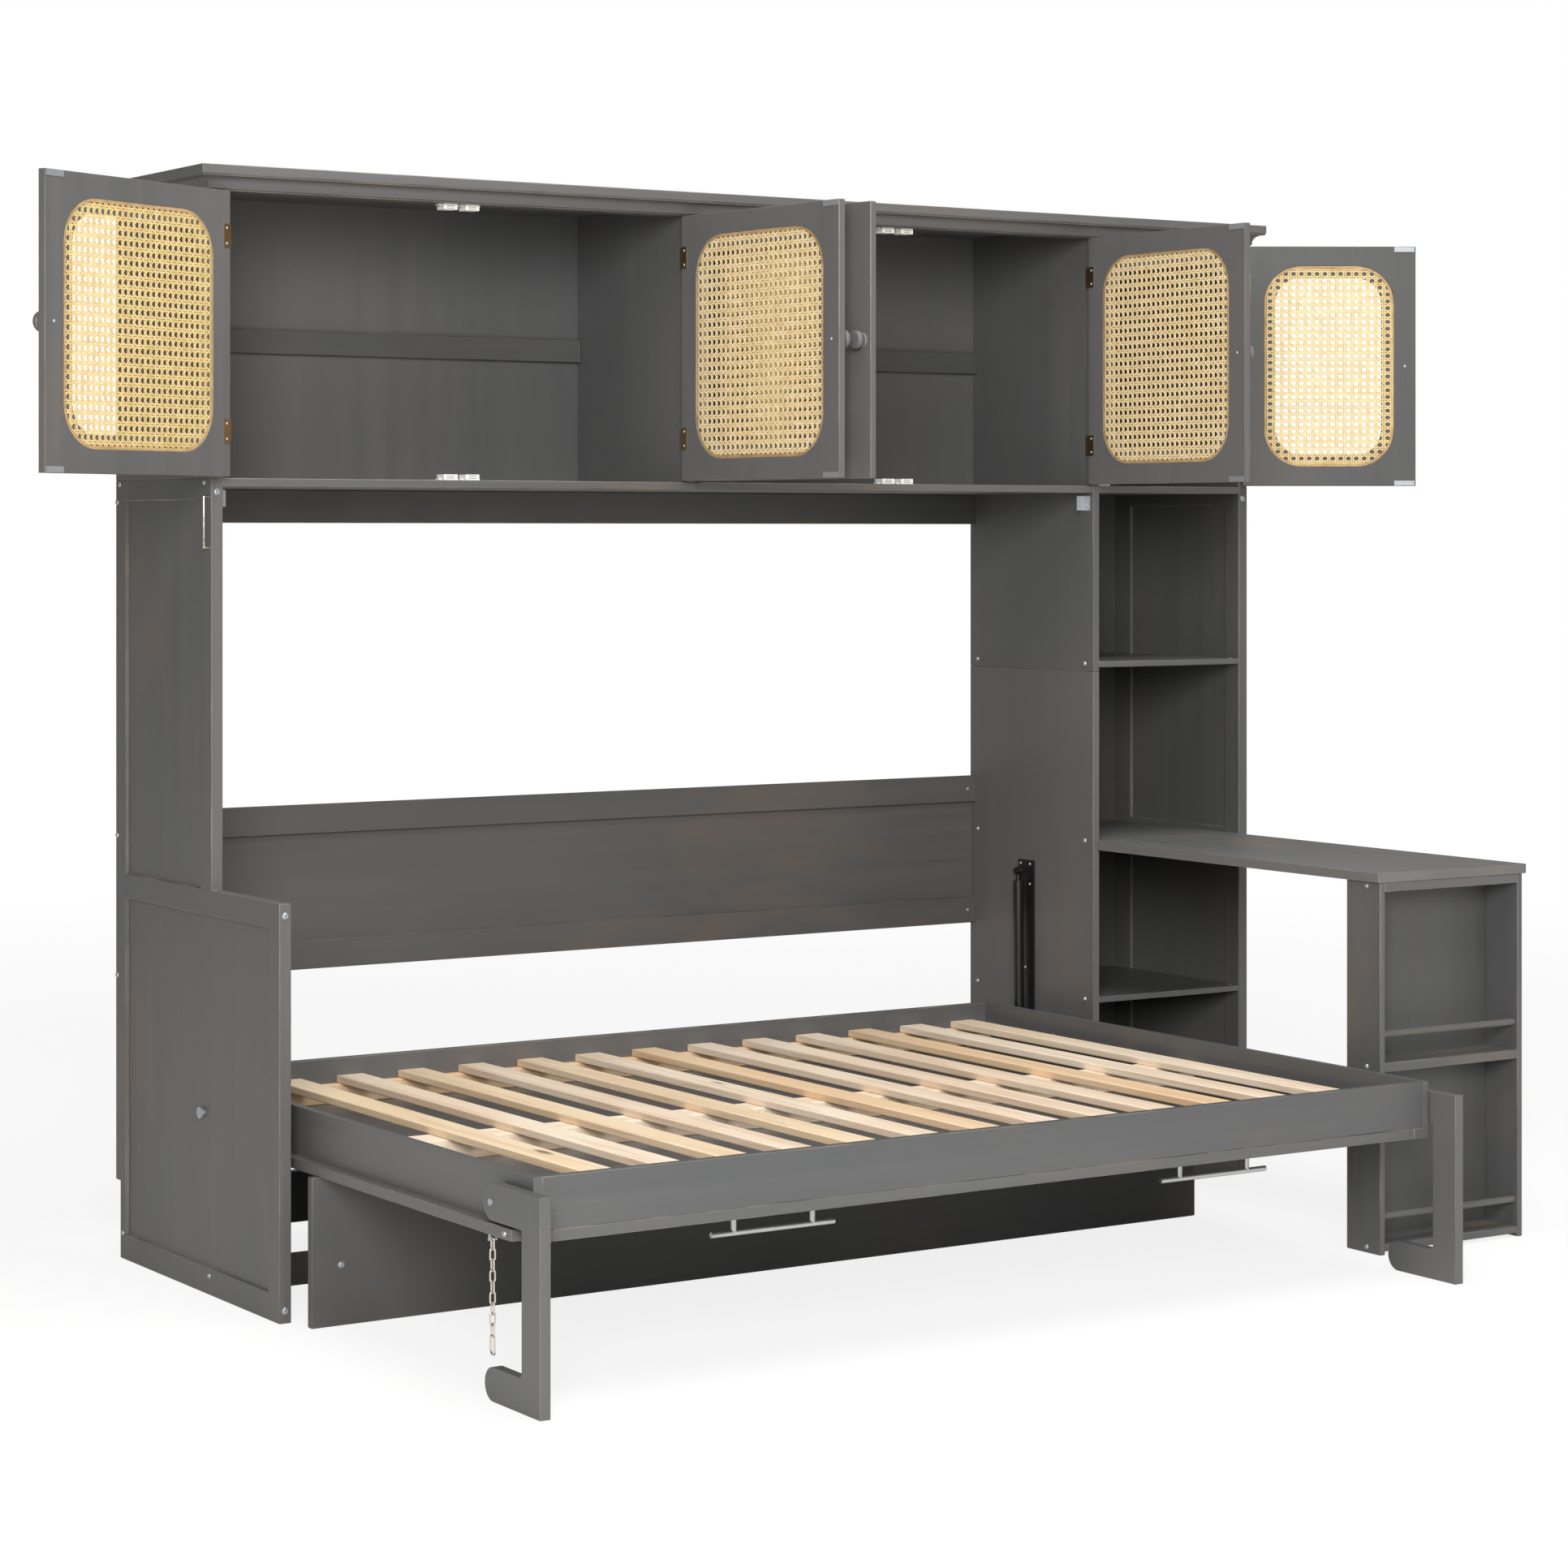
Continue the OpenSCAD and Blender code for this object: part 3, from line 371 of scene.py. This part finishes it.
finishes = {
    "woodX": stainedWood("x"),
    "woodY": stainedWood("y"),
    "woodZ": stainedWood("z"),
    "pineX": paleWood("x"),
    "pineY": paleWood("y"),
    "cane": reed("cane", "f0dcb2", "d9bb82"),
    # painted shade: darker reed colours for the doors that face the lamp
    "caneLit": reed("cane-lit", "dcc58c", "c4a668"),
    "spline": reed("spline", "e6c795", "cda46c", 40),
    "zinc": metal("zinc", "a9adb1", 0.36, pure=0.6),  # dull in its grey film
    "steel": metal("brushed-steel", "b9b9b8", 0.3, (6, 500, 500)),
    "rod": metal("rod-steel", "c4c4c4", 0.16),
    "brass": metal("yellow-zinc", "a98d68", 0.3),
    "nickel": metal("nickel", "cfc8bc", 0.22),
    "enamel": speckled("black-enamel", blackEnamel),
    "plastic": speckled("white-plastic", whitePlastic),
}
print("finishes made:", len(finishes))

# boards: each wooden node gets a copy with eased edges, whose strips carry the wear

grainOf = {
    "side_panel_left": "woodZ", "side_panel_right": "woodZ", "tower_wall": "woodZ",
    "box_floors": "woodX", "box_dividers": "woodZ", "box_sides": "woodZ", "box_top": "woodX",
    "cornice": "woodX", "box_top_rail": "woodX", "box_back": "woodZ", "tower_back": "woodZ",
    "rear_rails": "woodX", "rear_panel": "woodX", "plinth_rail": "woodX",
    "tower_shelves": "woodX", "desk_board": "woodY", "bookcase_sides": "woodZ",
    "bookcase_back": "woodZ", "bookcase_shelves": "woodX", "bookcase_rods": "woodX",
    "bed_side_rails": "woodY", "bed_end_rails": "woodX", "bed_underside": "woodX",
    "bed_lips": "woodY", "bed_slats": "pineY", "slat_supports": "pineX",
    "desk_leaf": "woodX", "leg_left": "woodZ", "leg_right": "woodZ",
}
doors = range(1, 6)  # from the left
grainOf |= {f"door_{i}_frame": "woodZ" for i in doors}

paintedLightOf = {  # boards with painted light or shade: each one's stain is made lighter (painted light on the desk top) or darker (painted shade on the leaf under the bed, on the backs, rails and floors in the recesses, on the side panels and on the outer doors)
    "desk_leaf": 0.66, "rear_panel": 0.78, "rear_rails": 0.72, "tower_back": 0.7,
    "bookcase_back": 0.76, "box_back": 0.94, "box_floors": 0.84, "side_panel_left": 0.93,
    "side_panel_right": 0.84, "desk_board": 1.28, "door_1_frame": 0.94, "door_5_frame": 0.54,
}


def boardFinish(node):
    kind = grainOf[node]
    if node not in paintedLightOf:
        return kind
    # a copy of the stain with the board's painted light or shade in its colours
    finishes[node] = stainedWood(kind[-1].lower(), paintedLightOf[node])
    return node


joined = 1e-6  # metres between vertices that are one

easing = {
    "width": 0.0016,
    "widthOf": {"bed_slats": 0.0022, "box_back": 0.0006, "tower_back": 0.0006, "cornice": 0.0006},
    "sharp": math.radians(24),  # creases that stay after easing
    "corner": math.radians(32),  # an edge that gets eased
    "flat": math.radians(0.6),  # joints between faces that are one flat
}

crease = {"fitting": math.radians(38), "head": math.radians(50), "rim": math.radians(60)}


def finishPiece(bm, name, body, material, nodes=()):
    mesh = bpy.data.meshes.new(name)
    bm.to_mesh(mesh)
    bm.free()
    piece = bpy.data.objects.new(name, mesh)
    bpy.context.collection.objects.link(piece)
    for one in [material] if isinstance(material, str) else material:
        mesh.materials.append(finishes[one])
    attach(piece, body)
    for node in nodes:
        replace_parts(piece, node)
    return piece


def cadCopy(node):  # a CAD node's mesh, with its doubled vertices joined
    bm = bmesh.new()
    bm.from_mesh(frame["nodes"][node].data)
    bmesh.ops.remove_doubles(bm, verts=bm.verts, dist=joined)
    return bm


def markCreases(bm, angle):
    for face in bm.faces:
        face.smooth = True
    for edge in bm.edges:
        edge.smooth = not (edge.is_manifold and edge.calc_face_angle(0) > angle)


def islands(bm):  # groups of vertices that hang together
    seen, groups = set(), []
    for seed in bm.verts:
        if seed in seen:
            continue
        seen.add(seed)
        group, front = [], [seed]
        while front:
            vert = front.pop()
            group.append(vert)
            for edge in vert.link_edges:
                other = edge.other_vert(vert)
                if other not in seen:
                    seen.add(other)
                    front.append(other)
        groups.append(group)
    return groups


def boxOf(verts):
    low = Vector([min(v.co[k] for v in verts) for k in range(3)])
    high = Vector([max(v.co[k] for v in verts) for k in range(3)])
    return low, high


boardTone = {"step": 12.9898, "start": 4.1, "spread": 437.585}  # scatters the boards' tones


def tellBoards(bm, strips, layer):  # edge wear, each board's own tone, and its narrow sides
    for index, group in enumerate(islands(bm)):
        wave = math.sin(index * boardTone["step"] + boardTone["start"])
        tone = (wave * boardTone["spread"]) % 1
        for face in {f for v in group for f in v.link_faces}:
            side = 1.0 if abs(face.normal.z) < 0.5 else 0.0
            for loop in face.loops:
                loop[layer] = (1.0 if face in strips else 0.0, tone, side, 1.0)


def easedCopy(node):
    bm = cadCopy(node)
    bmesh.ops.dissolve_limit(bm, angle_limit=easing["flat"], verts=bm.verts, edges=bm.edges)
    wear = bm.loops.layers.float_color.new("wear")
    sharp = [e for e in bm.edges if e.is_manifold and e.calc_face_angle(0) > easing["corner"]]
    made = bmesh.ops.bevel(
        bm,
        geom=sharp,
        offset=easing["widthOf"].get(node, easing["width"]),
        offset_type="OFFSET",
        segments=2,
        profile=0.5,
        affect="EDGES",
        clamp_overlap=True,
        material=-1,
    )
    bm.normal_update()
    strips = set(made["faces"])
    tellBoards(bm, strips, wear)
    markCreases(bm, easing["sharp"])
    for edge in bm.edges:  # the flats keep their true normals beside the rounded strips
        rounded = [face in strips for face in edge.link_faces]
        if any(rounded):
            edge.smooth = all(rounded)
    finishPiece(bm, f"eased-{node}", bodyOf[node], boardFinish(node), [node])


for node in grainOf:
    easedCopy(node)
print("boards eased:", len(grainOf))

# cane: pairs of upright and level strands and single slanting ones, cut to the door's window

weave = {
    "short": {"step": 0.0153, "middle": 0.0021, "wide": 0.0022},  # pairs across the closer spacing
    "long": {"step": 0.0176, "middle": 0.0023, "wide": 0.0024},
    "slant": 0.0019,
    "thick": 0.00045,
    "stile": 0.049,
    "rail": 0.044,
    "corner": 0.083,
    "lap": 0.002,
    "splineWide": 0.0062,
    "splineHigh": 0.003,
    "splineSink": 0.3,  # share of the spline's height
    "face": 0.0185,  # from the hinge's axis to the door's inner face
    "rebate": 0.003,
    "start": 0.003,  # from the hinge's axis to the door's edge
    "rimSides": 10,
    "rimSteps": 12,
    "samples": 160,  # points tried along a strand, to find the window's edge
    "join": 1e-5,
    "lit": (1, 5),  # doors that face the lamp, which take the cane with painted shade
}


def insideWindow(x, z, halfW, halfH, radius):
    dx = max(abs(x) - (halfW - radius), 0)
    dz = max(abs(z) - (halfH - radius), 0)
    return abs(x) <= halfW and abs(z) <= halfH and dx * dx + dz * dz <= radius * radius


def clipStrand(start, end, halfW, halfH, radius):
    hits = []
    for k in range(weave["samples"] + 1):
        point = start.lerp(end, k / weave["samples"])
        if insideWindow(point.x, point.y, halfW, halfH, radius):
            hits.append(point)
    return (hits[0], hits[-1]) if len(hits) > 1 else None


def addStrand(bm, start, end, wide, thick, level, place):
    run = end - start
    turn = Matrix.Rotation(-math.atan2(run.y, run.x), 4, "Y")
    middle = (start + end) / 2
    size = Matrix.Diagonal((run.length, thick, wide, 1))
    shift = Matrix.Translation((middle.x, level, middle.y))
    bmesh.ops.create_cube(bm, size=1.0, matrix=place @ shift @ turn @ size)


doorFacts = {}
joints = {joint["name"]: joint for joint in behaviour["joints"]}
for i in doors:
    joint = joints[f"door_{i}_swing"]
    doorFacts[i] = {
        "axis": Vector(joint["pos_m"]),
        "side": -joint["axis"][2],  # 1 hinged at the left, -1 at the right
        "open": -joint["range_deg"][0],
        "low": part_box(f"door_{i}_frame")[0][2],
        "high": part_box(f"door_{i}_frame")[1][2],
    }
meeting = 0.005  # gap between two doors, or a door and the divider
divider = 0.017
bay = (doorFacts[2]["axis"].x - doorFacts[1]["axis"].x - meeting) / 2 - weave["start"]
tower = doorFacts[5]["axis"].x - doorFacts[4]["axis"].x - divider - meeting
for i in doors:
    doorFacts[i]["wide"] = tower if i == 5 else bay


def doorPlace(i):  # from the closed door's own axes, hinge at the origin, to where it stands open
    facts = doorFacts[i]
    mirror = Matrix.Diagonal((facts["side"], 1, 1, 1))
    turn = Matrix.Rotation(math.radians(-facts["open"]), 4, "Z")
    lift = Matrix.Translation((facts["axis"].x, facts["axis"].y, facts["low"]))
    return lift @ mirror @ turn


def addRim(bm, halfW, halfH, radius, place):  # a reed swept round the rounded window
    high = weave["splineHigh"] / 2
    level = weave["face"] - weave["splineHigh"] * weave["splineSink"]
    across = Matrix.Diagonal((weave["splineWide"] / 2 / high, 1, 1, 1))
    start = Matrix.Translation((halfW - weave["splineWide"] / 2, level, halfH - radius))
    upright = Matrix.Rotation(math.pi / 2, 4, "X")
    ring = bmesh.ops.create_circle(
        bm, segments=weave["rimSides"], radius=high, matrix=start @ across @ upright
    )
    edges = list({e for v in ring["verts"] for e in v.link_edges})
    runX, runZ = 2 * (halfW - radius), 2 * (halfH - radius)
    turns = (  # the corner's two signs, then the straight run after it
        (1, 1, (-runX, 0, 0)),
        (-1, 1, (0, 0, -runZ)),
        (-1, -1, (runX, 0, 0)),
        (1, -1, (0, 0, runZ)),
    )
    for sideX, sideZ, run in turns:
        made = bmesh.ops.spin(
            bm, geom=edges, cent=(sideX * (halfW - radius), level, sideZ * (halfH - radius)),
            axis=(0, -1, 0), angle=math.pi / 2, steps=weave["rimSteps"],
        )
        edges = [g for g in made["geom_last"] if isinstance(g, bmesh.types.BMEdge)]
        made = bmesh.ops.extrude_edge_only(bm, edges=edges)
        verts = [g for g in made["geom"] if isinstance(g, bmesh.types.BMVert)]
        bmesh.ops.translate(bm, verts=verts, vec=run)
        lines = [g for g in made["geom"] if isinstance(g, bmesh.types.BMEdge)]
        edges = [line for line in lines if all(v in verts for v in line.verts)]
    bmesh.ops.remove_doubles(bm, verts=bm.verts, dist=weave["join"])
    bmesh.ops.transform(bm, matrix=place, verts=bm.verts)
    bmesh.ops.recalc_face_normals(bm, faces=bm.faces)


def weaveCane(i):
    facts = doorFacts[i]
    high = facts["high"] - facts["low"]
    halfW = facts["wide"] / 2 - weave["stile"] - weave["lap"]
    halfH = high / 2 - weave["rail"] - weave["lap"]
    radius = weave["corner"] - weave["lap"]
    middle = Matrix.Translation((weave["start"] + facts["wide"] / 2, 0, high / 2))
    place = doorPlace(i) @ middle
    sheet = weave["face"] - weave["rebate"] + weave["thick"]
    across, up = (weave["long"], weave["short"]) if i == 5 else (weave["short"], weave["long"])
    window = (halfW, halfH, radius)
    bm = bmesh.new()
    for k in range(-int(halfW / across["step"]) - 1, int(halfW / across["step"]) + 2):
        for side in (-1, 1):
            x = k * across["step"] + side * across["middle"]
            cut = clipStrand(Vector((x, -halfH)), Vector((x, halfH)), *window)
            if cut:
                addStrand(bm, *cut, across["wide"], weave["thick"], sheet, place)
    for k in range(-int(halfH / up["step"]) - 1, int(halfH / up["step"]) + 2):
        for side in (-1, 1):
            z = k * up["step"] + side * up["middle"]
            cut = clipStrand(Vector((-halfW, z)), Vector((halfW, z)), *window)
            if cut:
                addStrand(bm, *cut, up["wide"], weave["thick"], sheet + weave["thick"], place)
    slope = up["step"] / across["step"]
    reach = int((halfW * slope + halfH) / up["step"]) + 1
    for k in range(-reach, reach + 1):
        for lean in (1, -1):
            z0 = (k + 0.5) * up["step"]
            start = Vector((-halfW, z0 - lean * slope * halfW))
            end = Vector((halfW, z0 + lean * slope * halfW))
            cut = clipStrand(start, end, *window)
            if cut:
                level = sheet + weave["thick"] * (2 if lean > 0 else 3)
                addStrand(bm, *cut, weave["slant"], weave["thick"], level, place)
    # the doors that face the lamp take the cane with painted shade
    finish = "caneLit" if i in weave["lit"] else "cane"
    finishPiece(bm, f"cane-{i}", f"door_{i}", finish, [f"door_{i}_cane"])
    rim = bmesh.new()
    addRim(rim, halfW + weave["lap"], halfH + weave["lap"], weave["corner"], place)
    markCreases(rim, crease["rim"])
    finishPiece(rim, f"spline-{i}", f"door_{i}", "spline")


for i in doorFacts:
    weaveCane(i)
print("cane woven")

# metal and plastic: smooth copies of the CAD forms, with domed heads on bolts and screws

metalOf = {
    "corner_brackets": "zinc", "magnet_catches": "plastic", "hinge_leaves": "brass",
    "spring_plates": "enamel", "chain_staple": "nickel", "bar_handles": "steel",
    "bed_pivot_plates": "enamel", "hook_chain": "nickel", "pivot_bolts": "zinc",
    "spring_cylinder_left": "enamel", "spring_cylinder_right": "enamel",
    "spring_rod_left": "rod", "spring_rod_right": "rod",
}

heads = {
    "sides": 16,
    "taper": 0.72,
    "socket": 0.4,  # share of the head's radius
    "deep": 0.5,  # share of the head's height
    "ease": 0.35,  # share of the head's height
    "rim": 0.1,  # least share of the radius left round the socket
    "screw": (0.0034, 0.0014),  # radius, height
    "small": (0.0027, 0.0011),
    "disc": 0.0035,  # a CAD head is thinner than this
    "bedEnd": 0.99,  # the bed's right end is past this
    "sunk": 0.001,  # the strikes' heads lie flush, clear of the catches
}


def smoothCopy(node, material):
    bm = cadCopy(node)
    markCreases(bm, crease["fitting"])
    finishPiece(bm, f"smooth-{node}", bodyOf[node], material, [node])


def domedHead(radius, height):  # rises from the origin along +Z
    bm = bmesh.new()
    bmesh.ops.create_cone(
        bm, cap_ends=True, segments=heads["sides"], radius1=radius, radius2=radius * heads["taper"],
        depth=height, matrix=Matrix.Translation((0, 0, height / 2)),
    )
    top = max(bm.faces, key=lambda f: f.calc_center_median().z)
    ease = height * heads["ease"]
    bmesh.ops.bevel(
        bm, geom=list(top.edges), offset=ease, offset_type="OFFSET", segments=2, profile=0.5,
        affect="EDGES", material=-1,
    )
    bm.normal_update()
    top = max(bm.faces, key=lambda f: (round(f.calc_center_median().z, 6), f.calc_area()))
    rim = max(radius * (heads["taper"] - heads["socket"]) - ease, radius * heads["rim"])
    bmesh.ops.inset_region(bm, faces=[top], thickness=rim, use_even_offset=True)
    socket = bmesh.ops.extrude_discrete_faces(bm, faces=[top])["faces"][0]
    bmesh.ops.translate(bm, verts=list(socket.verts), vec=(0, 0, -height * heads["deep"]))
    return bm


def facing(point, normal):  # a matrix that stands +Z along a normal, at a point
    return Matrix.Translation(point) @ Vector(normal).to_track_quat("Z", "Y").to_matrix().to_4x4()


def headPiece(name, body, spots):  # spots: point, normal, radius, height
    bm = bmesh.new()
    for point, normal, radius, height in spots:
        head = domedHead(radius, height)
        bmesh.ops.transform(head, matrix=facing(point, normal), verts=head.verts)
        loose = bpy.data.meshes.new("head")
        head.to_mesh(loose)
        head.free()
        bm.from_mesh(loose)
        bpy.data.meshes.remove(loose)
    bmesh.ops.recalc_face_normals(bm, faces=bm.faces)
    markCreases(bm, crease["head"])
    return finishPiece(bm, name, body, "zinc")


def boltHeads(node, outward):  # CAD's plain discs become domed heads; long pins stay
    bm = cadCopy(node)
    spots, gone = [], []
    for group in islands(bm):
        low, high = boxOf(group)
        size = high - low
        axis = min(range(3), key=lambda k: size[k])
        if size[axis] < heads["disc"]:
            sign = outward(low)
            point = (low + high) / 2
            point[axis] = low[axis] if sign > 0 else high[axis]
            normal = Vector((0, 0, 0))
            normal[axis] = sign
            spots.append((point, normal, sorted(size)[1] / 2, size[axis]))
            gone += group
    bmesh.ops.delete(bm, geom=gone, context="VERTS")
    markCreases(bm, crease["fitting"])
    if bm.verts:
        finishPiece(bm, f"pins-{node}", bodyOf[node], "zinc", [node])
        headPiece(f"heads-{node}", bodyOf[node], spots)
    else:
        bm.free()
        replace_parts(headPiece(f"heads-{node}", bodyOf[node], spots), node)


for node, name in metalOf.items():
    smoothCopy(node, name)
boltHeads("cabinet_bolts", lambda low: -1)
boltHeads("bed_bolts", lambda low: 1 if low.x > heads["bedEnd"] else -1)
print("bolts and fittings made")

# door hardware: yellow hinge halves, zinc strikes, and the screws in both

hardware = {
    "hinges": 0.1,  # nearer to the axis than this a plate belongs to a hinge
    "strikeScrew": 0.015,  # from a strike's middle
    "wingScrew": (0.0075, 0.0145),  # from a hinge wing's edge, and from its middle
}


def doorFittings(i):
    node = f"door_{i}_hardware"
    bm = cadCopy(node)
    place = doorPlace(i)
    home = place.inverted()
    turned = place.to_3x3() @ Vector((0, 1, 0))
    spots = []
    for group in islands(bm):
        flat = [home @ v.co for v in group]
        low = Vector([min(p[k] for p in flat) for k in range(3)])
        high = Vector([max(p[k] for p in flat) for k in range(3)])
        strike = low.x > hardware["hinges"]
        for face in {f for v in group for f in v.link_faces}:
            face.material_index = 1 if strike else 0
        middle = (low + high) / 2
        for side in (-1, 1):
            if strike:
                x = middle.x + side * hardware["strikeScrew"]
                point = Vector((x, high.y - heads["sunk"], middle.z))
            else:
                inset, apart = hardware["wingScrew"]
                point = Vector((high.x - inset, high.y, middle.z + side * apart))
            spots.append((place @ point, turned, *heads["small"]))
    knob = Vector((weave["start"] + doorFacts[i]["wide"] - weave["stile"] / 2, weave["face"], 0))
    knob.z = (doorFacts[i]["high"] - doorFacts[i]["low"]) / 2
    spots.append((place @ knob, turned, *heads["screw"]))
    markCreases(bm, crease["fitting"])
    finishPiece(bm, f"fittings-{i}", f"door_{i}", ["brass", "zinc"], [node])
    headPiece(f"screws-door-{i}", f"door_{i}", spots)


for i in doorFacts:
    doorFittings(i)
print("door fittings made")

# catches: two steel plates in the face of each, and a screw in each ear

catch = {
    "ear": 0.0065,
    "bar": (0.018, 0.0011),
    "proud": 0.0005,
    "apart": 0.0042,
    "shift": 0.0008,  # away from the board
    "ease": 0.0002,
    "screw": (0.001, 0.003),  # the ear screw's place, forward of the middle and off the board
    "upper": 1.8,  # catches above this height hang from the top
}


def dressCatches():
    bm = cadCopy("magnet_catches")
    boxes = [boxOf(group) for group in islands(bm)]
    bm.free()
    bars, spots = bmesh.new(), []
    for low, high in boxes:
        middle = (low + high) / 2
        up = -1 if low.z > catch["upper"] else 1
        foot = high.z if up < 0 else low.z
        for side in (-1, 1):
            z = middle.z + up * catch["shift"] + side * catch["apart"] / 2
            size = Matrix.Diagonal((catch["bar"][0], catch["proud"] * 2, catch["bar"][1], 1))
            place = Matrix.Translation((middle.x, low.y, z)) @ size
            made = bmesh.ops.create_cube(bars, size=1, matrix=place)
            edges = list({e for v in made["verts"] for e in v.link_edges})
            bmesh.ops.bevel(
                bars, geom=edges, offset=catch["ease"], segments=1, profile=0.5, affect="EDGES",
                material=-1,
            )
            x = middle.x + side * ((high.x - low.x) / 2 - catch["ear"] / 2)
            forward, off = catch["screw"]
            point = Vector((x, middle.y - forward, foot + up * off))
            spots.append((point, (0, 0, up), *heads["small"]))
    finishPiece(bars, "catch-plates", "cabinet", "enamel")
    headPiece("catch-screws", "cabinet", spots)


dressCatches()

# screws in the brackets, in the springs' plates and in the tower's shelves

fixing = {
    "bracketGauge": 0.002,
    "bracketDepth": 0.009,
    "bracketShares": (0.3, 0.7),
    "plateGauge": 0.004,
    "plateScrews": ((0.009, 0.0085), (0.043, 0.0085), (0.043, 0.053), (0.026, 0.24)),
    "shelf": 0.03,  # a shelf is thinner than this
    "shelfSide": 0.011,
    "shelfFront": 0.016,
    "shelfBack": 0.02,
}


def fittingScrews():
    spots = []
    for side in (-1, 1):
        low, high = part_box("corner_brackets")
        x = (low if side < 0 else high)[0] - side * fixing["bracketGauge"]
        for share in fixing["bracketShares"]:
            spot = (x, low[1] + fixing["bracketDepth"], low[2] + share * (high[2] - low[2]))
            spots.append((spot, (-side, 0, 0), *heads["screw"]))
        low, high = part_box("spring_plates")
        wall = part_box("side_panel_left")[1][0] if side < 0 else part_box("tower_wall")[0][0]
        face = wall - side * fixing["plateGauge"]
        for back, down in fixing["plateScrews"]:
            spot = (face, high[1] - back, high[2] - down)
            spots.append((spot, (-side, 0, 0), *heads["screw"]))
    bm = cadCopy("tower_shelves")
    for group in islands(bm):
        low, high = boxOf(group)
        if high.z - low.z < fixing["shelf"]:  # screwed down at its corners
            left, right = low.x + fixing["shelfSide"], high.x - fixing["shelfSide"]
            front, rear = low.y + fixing["shelfFront"], high.y - fixing["shelfBack"]
            for x, y in ((left, front), (right, front), (left, rear), (right, rear)):
                spots.append(((x, y, high.z), (0, 0, 1), *heads["small"]))
    bm.free()
    headPiece("fitting-screws", "cabinet", spots)


fittingScrews()
print("screws made")

# stage: floor, world and lamps

stageLook = {
    "floor": "f4f4f2",
    "size": 60,
    "below": 0.0006,
    "glow": 0.84,  # share of white near the object, seen by the camera only
    "far": (2.5, 8.0),  # where the floor turns all white
    "world": 0.23,
}
lamps = {
    "key": {"place": (-4.8, -7.4, 3.3), "target": (0, 0, 0.9), "size": 3.4, "power": 660},
    "fill": {"place": (4.5, -6.5, 1.6), "target": (0, 0, 0.8), "size": 4.0, "power": 25},
    "top": {"place": (0, -2.5, 6.5), "target": (0, -0.5, 0), "size": 5.0, "power": 360},
}


def makeFloor():
    bm = bmesh.new()
    bmesh.ops.create_grid(bm, x_segments=1, y_segments=1, size=stageLook["size"])
    mesh = bpy.data.meshes.new("floor")
    bm.to_mesh(mesh)
    bm.free()
    floor = bpy.data.objects.new("floor", mesh)
    floor.location.z = -stageLook["below"]
    bpy.context.collection.objects.link(floor)
    finish = Finish("floor")
    path = finish.node("ShaderNodeLightPath", {}, {}, "Is Camera Ray")
    away = finish.node("ShaderNodeVectorMath", {"operation": "LENGTH"}, {0: finish.coords}, "Value")
    part = path * (away.ramp(*stageLook["far"]) * (1 - stageLook["glow"]) + stageLook["glow"])
    shade = finish.node("ShaderNodeBsdfDiffuse", {}, {"Color": srgb(stageLook["floor"])})
    glow = finish.node("ShaderNodeEmission", {}, {"Color": (1, 1, 1, 1), "Strength": 1.0})
    blend = finish.node("ShaderNodeMixShader", {}, {0: part, 1: shade, 2: glow})
    finish.node("ShaderNodeOutputMaterial", {}, {"Surface": blend}, None)
    mesh.materials.append(finish.material)


def makeWorld():
    world = bpy.data.worlds.new("studio")
    bpy.context.scene.world = world
    world.use_nodes = True
    tree = world.node_tree
    tree.nodes.clear()
    path = tree.nodes.new("ShaderNodeLightPath")
    seen = tree.nodes.new("ShaderNodeMath")
    seen.operation = "MAXIMUM"
    tree.links.new(path.outputs["Is Camera Ray"], seen.inputs[0])
    tree.links.new(path.outputs["Is Transmission Ray"], seen.inputs[1])
    level = tree.nodes.new("ShaderNodeMapRange")
    level.inputs["To Min"].default_value = stageLook["world"]
    level.inputs["To Max"].default_value = 1.0
    tree.links.new(seen.outputs[0], level.inputs["Value"])
    back = tree.nodes.new("ShaderNodeBackground")
    back.inputs["Color"].default_value = (1, 1, 1, 1)
    tree.links.new(level.outputs[0], back.inputs["Strength"])
    out = tree.nodes.new("ShaderNodeOutputWorld")
    tree.links.new(back.outputs[0], out.inputs["Surface"])


def addLamp(name, facts):
    data = bpy.data.lights.new(name, "AREA")
    data.shape = "DISK"
    data.size = facts["size"]
    data.energy = facts["power"]
    lamp = bpy.data.objects.new(name, data)
    lamp.location = facts["place"]
    aim = Vector(facts["target"]) - Vector(facts["place"])
    lamp.rotation_euler = aim.to_track_quat("-Z", "Y").to_euler()
    bpy.context.collection.objects.link(lamp)


makeFloor()
makeWorld()
for name, facts in lamps.items():
    addLamp(name, facts)
bpy.context.scene.view_settings.view_transform = "Standard"
print("stage set")
